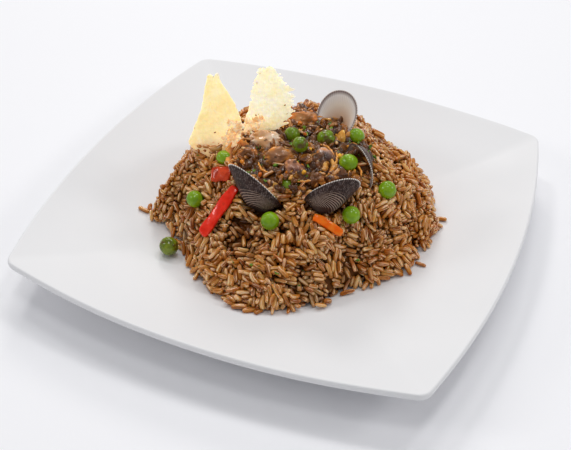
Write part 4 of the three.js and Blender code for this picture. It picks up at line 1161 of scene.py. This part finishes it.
def settleGrains(centre, way, half, radius, rest, fixed):
    # each grain is a row of balls; overlapping balls push their grains apart and turn them, and each
    # grain is drawn back to its own depth under the dome. fixed holds balls (x, y, z, radius) that stay
    each = grains["balls"]
    stations = np.linspace(-1, 1, each)
    total = len(centre)
    owner = np.concatenate([np.repeat(np.arange(total), each), -1 - np.arange(len(fixed))])
    size = np.concatenate([np.repeat(radius, each), fixed[:, 3]])
    arm = stations[None, :] * (half - radius)[:, None]
    for turn in range(grains["rounds"]):
        spots = (centre[:, None] + way[:, None] * arm[..., None]).reshape(-1, 3)
        everything = np.concatenate([spots, fixed[:, :3]])
        a, b = closePairs(everything, 2 * grains["radius"][1])
        keep = (owner[a] != owner[b]) & ((owner[a] >= 0) | (owner[b] >= 0))
        a, b = a[keep], b[keep]
        gap = everything[a] - everything[b]
        distance = np.linalg.norm(gap, axis=1)
        over = size[a] + size[b] - distance
        hit = over > 0
        a, b, over = a[hit], b[hit], over[hit]
        push = gap[hit] / np.maximum(distance[hit], 1e-3)[:, None] * over[:, None]
        loneA, loneB = owner[b] < 0, owner[a] < 0  # a fixed ball doesn't give way
        move = np.zeros((len(everything), 3))
        for axis in range(3):
            move[:, axis] += np.bincount(a, push[:, axis] * np.where(loneA, 1, 0.5), len(everything))
            move[:, axis] -= np.bincount(b, push[:, axis] * np.where(loneB, 1, 0.5), len(everything))
        move = move[:total * each]
        floor = readMap(plateMap, spots[:, 0], spots[:, 1]) + np.repeat(radius, each) - spots[:, 2]
        move[:, 2] += np.maximum(floor, 0)
        off, out = offDome(spots)
        sunk = np.maximum(np.repeat(radius, each) - heap["coreDepth"] - off, 0)
        proud = np.minimum(np.repeat(np.maximum(rest, 0) + 2.8, each) - off, 0)
        move += out * (sunk + 0.5 * proud)[:, None]
        move = move.reshape(total, each, 3)
        centre = centre + 0.62 * move.mean(1) * 1.5
        lean = (move * arm[..., None]).sum(1) / (arm ** 2).sum(1, keepdims=True)
        way = unit(way + 0.5 * (lean - (lean * way).sum(1, keepdims=True) * way))
        off, out = offDome(centre)
        if turn < grains["rounds"] - 8:
            centre = centre - out * (0.12 * (off - rest))[:, None]
    return centre, way, over.mean() if len(over) else 0.0


def scatterOnDome(count):
    # points spread evenly over the dome's skin: cells of a share-angle net, drawn by their area
    share, angle = np.meshgrid(np.linspace(0, 1, 130), np.linspace(0, tau, 360), indexing="ij")
    spot = np.stack([*polar(heap["peak"], share * heapReach(angle), angle), domeAt(share, angle)], -1)
    one, two = spot[1:, :-1] - spot[:-1, :-1], spot[:-1, 1:] - spot[:-1, :-1]
    area = np.linalg.norm(np.cross(one, two), axis=-1)
    drawn = rng.choice(area.size, count, p=area.ravel() / area.sum())
    i, j = np.unravel_index(drawn, area.shape)
    u, v = rng.random((2, count, 1))
    return spot[i, j] + one[i, j] * u + two[i, j] * v


def tangentWays(points, field, scatter, tip):
    # directions along the skin: a slowly turning angle plus a random one, tipped a little out of the skin
    out = offDome(points)[1]
    first = unit(np.cross(out, [0.3, 0.2, 1.0]))
    second = np.cross(out, first)
    turn = 2.2 * waveNoise(points, field, 11) + rng.normal(0, scatter, len(points))
    tip = rng.normal(0, tip, len(points))
    flat = first * np.cos(turn)[:, None] + second * np.sin(turn)[:, None]
    return unit(flat * np.cos(tip)[:, None] + out * np.sin(tip)[:, None])


def grainSkins(centre, way, half, radius, kind):
    # along: t in -1..1; thickness radius * (1 - |t|^4.2)^0.5; the section is flattened, the axis bends by
    # bend * (t^2 - 1/3), and a split grain has a furrow that opens towards its ends
    total = len(centre)
    t = np.sin(np.linspace(-1, 1, grains["rings"] + 2)[1:-1] * math.pi / 2)
    v = np.arange(grains["columns"]) / grains["columns"] * tau
    side = unit(np.cross(way, unit(rng.normal(size=(total, 3)))))
    other = np.cross(way, side)
    thick = (1 - np.abs(t) ** 4.2) ** 0.5
    taper = rng.uniform(-0.14, 0.14, (total, 1))
    girth = radius[:, None] * thick * (1 + taper * t) * (1 + rng.normal(0, 0.04, (total, len(t))))
    bend = rng.normal(0, 0.42, (total, 1)) * (t ** 2 - 1 / 3)
    furrow = 1 + 0 * v
    if kind == "split":
        furrow = 1 - 0.42 * np.exp(-((v - math.pi) / 0.5) ** 2)
    across = girth[..., None] * np.cos(v) * (1.0 if kind != "split" else 1.08) * furrow
    deep = girth[..., None] * np.sin(v) * rng.uniform(0.78, 0.92, (total, 1, 1)) * furrow
    if kind == "split":
        across = across * (1 + 0.28 * t[None, :, None] ** 2)
    along = (half[:, None] * t)[..., None] + 0 * v
    grid = (centre[:, None, None] + way[:, None, None] * along[..., None]
            + side[:, None, None] * (across + bend[..., None])[..., None]
            + other[:, None, None] * deep[..., None])
    local = np.stack([along, across, deep], -1) + rng.uniform(0, 400, (total, 1, 1, 1))
    tips = np.broadcast_to(np.abs(t)[None, :, None] ** 3, along.shape)
    out = offDome(centre)[1][:, None, None]
    # under runs from 0 on a grain's top side to 1 beneath it, and depth grows below the dome's skin: riceFinish paints
    # shade and highlight from them
    under = 0.5 - 0.5 * ((grid - centre[:, None, None]) * out).sum(-1) / radius[:, None, None]
    depth = np.clip(-offDome(grid.reshape(-1, 3))[0].reshape(under.shape) / 7, 0, 1)
    return grid, local, tips, np.clip(under, 0, 1), depth


def riceFinish(name, light, mid, dark, gloss):
    # tan skin, streaked along the grain, browner in its furrows, at its tips and in soaked patches; painted shade
    # darkens the underside of each grain and the grains deep under the dome's skin, and a painted highlight lightens
    # each grain's top side
    rice = Finish(name, IOR=1.2, Coat_Roughness=0.1, soft=(0.3, 0.0025, (1.0, 0.38, 0.1)))
    local = rice.mark("local", "Vector")
    streak = rice.noise(1.0, 3.0, rice.scaled(local, (0.10, 1.1, 1.1)), 0.62)
    soak = rice.noise(75.0, 2.0)
    tone = rice.mark("tone")
    level = rice.range(streak, 0.3, 0.72) * 0.55 + tone * 0.42 + (soak - 0.5) * 0.75
    skin = rice.ramp(level, [(0.05, dark), (0.42, mid), (0.85, light)])
    edge = rice.mark("tips") * rice.cloud(160.0, 1.0, 0.35, 0.65)
    skin = rice.mix(edge * 0.6, skin, (0.60, 0.23, 0.035))
    # painted shade: the underside of each grain turns dark orange-brown
    low = rice.range(rice.mark("under"), 0.42, 0.95)
    # painted highlight: the top side of each grain is lightened along its streaks
    paintedSheen = rice.range(rice.mark("under"), 0.26, 0.05) * rice.range(streak, 0.46, 0.58)
    skin = rice.mix(paintedSheen * 0.66, skin, (1.0, 0.70, 0.43))
    skin = rice.mix(low * 0.85, skin, (0.42, 0.11, 0.004))
    # painted shade: grains that lie deep under the dome's skin turn near black
    rice.feed("Base Color", rice.mix(rice.range(rice.mark("depth"), 0.15, 0.9) * 0.9, skin, (0.10, 0.022, 0.001)))
    rice.feed("Roughness", rice.range(streak, 0.25, 0.75, gloss + 0.12, gloss))
    rice.feed("Coat Weight", rice.range(soak, 0.36, 0.56, 0.15, 1.0))
    rice.bump(streak, 0.0009, 0.5)
    return rice


def cellBorder(points, knots):
    # how far each point is inside the cell of its nearest knot, and that knot's number
    apart = np.linalg.norm(points[:, None] - knots[None], axis=-1)
    nearest = np.argpartition(apart, 1, 1)[:, :2]
    gaps = np.take_along_axis(apart, nearest, 1)
    own = np.where(gaps[:, 0] < gaps[:, 1], nearest[:, 0], nearest[:, 1])
    return np.abs(gaps[:, 0] - gaps[:, 1]), own


def clumpTop(points, clumps):
    # height of the sticky clumps over the dome: a random lift, less clumpSink (1 - border / clumpEdge)^2 at
    # their edges; and how thick a layer of grains lies below it
    border, own = cellBorder(points, clumps)
    high = grains["clumpLift"]
    lift = np.random.default_rng(7).uniform(-high, high, len(clumps))[own]
    sink = grains["clumpSink"] * (1 - np.clip(border / grains["clumpEdge"], 0, 1)) ** 2
    top = lift - sink + 0.8 * waveNoise(points, 9, 4)
    return top, np.clip(top + heap["coreDepth"] - 1.0, 1.5, grains["layer"])


def makeGrains(name, finish, node, slot, skins):
    # one piece of many grains, each with a random tone of its own
    grid, local, tips, under, depth = skins
    tone = rng.random(len(grid))[:, None, None]
    makePiece(name, grid, finish, [node], slot,
              local=local, tips=tips, tone=tone, under=under, depth=depth)
    print(name, len(grid), "grains")


def layRice():
    # grains lie in sticky clusters, nearly alike in direction; the skin sinks between one cluster and the next
    spot = scatterOnDome(grains["count"] * 3)
    spot = spot[((spot[:, :2] - ragout["centre"]) ** 2).sum(1) > grains["hole"] ** 2]  # the ragout fills the rest
    clumps = scatterOnDome(grains["clumps"])
    top, _ = clumpTop(spot, clumps)
    share = np.clip((top + heap["coreDepth"]) / grains["layer"], 0.3, 1)
    spot = spot[rng.random(len(spot)) < share][:grains["count"]]
    # loose grains at the heap's foot, on the plate
    angle = rng.uniform(0, tau, grains["loose"])
    reach = heapReach(angle) + np.minimum(rng.exponential(1.6, grains["loose"]), 3.5) - 1.0
    foot = np.stack([*polar(heap["peak"], reach, angle), 0 * angle], -1)
    foot = np.concatenate([foot, np.pad(np.array(grains["spilled"]), ((0, 0), (0, 1)))])
    foot[:, 2] = readMap(plateMap, foot[:, 0], foot[:, 1]) + 1.6
    centre = np.concatenate([spot, foot])
    total = len(centre)
    knots = scatterOnDome(grains["clusters"])
    knotWay = tangentWays(knots, 26, 0.9, 0.36)
    border, own = cellBorder(centre, knots)
    top, room = clumpTop(centre, clumps)
    off, out = offDome(centre)
    sink = grains["clusterSink"] * (1 - np.clip(border / grains["clusterEdge"], 0, 1)) ** 2
    rest = top - sink - room * rng.random(total) ** 1.15
    rest[len(spot):] = -0.5
    centre = centre + out * (rest - off)[:, None] * (np.arange(total) < len(spot))[:, None]
    way = unit(knotWay[own] + rng.normal(0, 0.19, (total, 3)))
    stray = (rng.random(total) < grains["stray"]) | (np.arange(total) >= len(spot))
    way[stray] = tangentWays(centre[stray], 22, 0.9, 0.3)
    half = rng.uniform(*grains["halfLength"], total)
    radius = rng.uniform(*grains["radius"], total)
    short = rng.random(total) < grains["short"]
    half[short] *= grains["shortened"]
    centre, way, left = settleGrains(centre, way, half, radius, rest, np.concatenate(solid))
    print("rice settled, mean overlap left %.2f mm" % left)
    # grains that came to lie over a pepper strip or a shell's back are taken away
    kept, cleared = np.ones(total, bool), grains["cleared"]
    for share in (-0.75, -0.35, 0, 0.35, 0.75):
        gap = (centre + way * (half * share)[:, None])[:, None] - np.concatenate(guarded)
        front = gap @ viewEye
        beside = np.linalg.norm(gap - front[..., None] * viewEye, axis=-1)
        over = (front > cleared["from"]) & (front < cleared["to"]) & (beside < cleared["beside"])
        kept &= ~over.any(1)
    centre, way, half, radius = centre[kept], way[kept], half[kept], radius[kept]
    total = len(centre)
    kinds = rng.choice(4, total, p=grains["kinds"])
    looks = [
        ("rice_whole", "whole", "riceWhole",
         (0.706, 0.353, 0.091), (0.521, 0.18, 0.018), (0.227, 0.054, 0.003), 0.32),
        ("rice_split", "split", "riceSplit",
         (0.739, 0.402, 0.114), (0.554, 0.205, 0.026), (0.244, 0.061, 0.004), 0.36),
        ("rice_browned", "whole", "riceBrowned",
         (0.622, 0.246, 0.03), (0.42, 0.115, 0.009), (0.16, 0.034, 0.002), 0.28),
        ("rice_pale", "whole", "ricePale",
         (0.798, 0.492, 0.182), (0.622, 0.271, 0.049), (0.353, 0.102, 0.008), 0.34),
    ]
    for index, (name, kind, *look) in enumerate(looks):
        pick = kinds == index
        skins = grainSkins(centre[pick], way[pick], half[pick], radius[pick] * grains["swollen"], kind)
        makeGrains(name, riceFinish(*look), "rice_heap", "rice", skins)
    # grains coated with the ragout's sauce
    spots = onRagout(ragout["rice"], 88, 1.0, (0.5, 1.8))
    count = len(spots)
    skins = grainSkins(spots, tangentWays(spots, 9, 1.2, 0.3), rng.uniform(2.8, 4.2, count),
                       rng.uniform(1.0, 1.3, count), "whole")
    coated = riceFinish("riceCoated", (0.66, 0.30, 0.07), (0.34, 0.11, 0.012), (0.12, 0.03, 0.003), 0.2)
    makeGrains("ragout_rice", coated, "clam_ragout", "ragout", skins)
    return centre, radius


makeHerbs(*layRice())
print("herbs made")

# bring the scene up to date
bpy.context.view_layer.update()
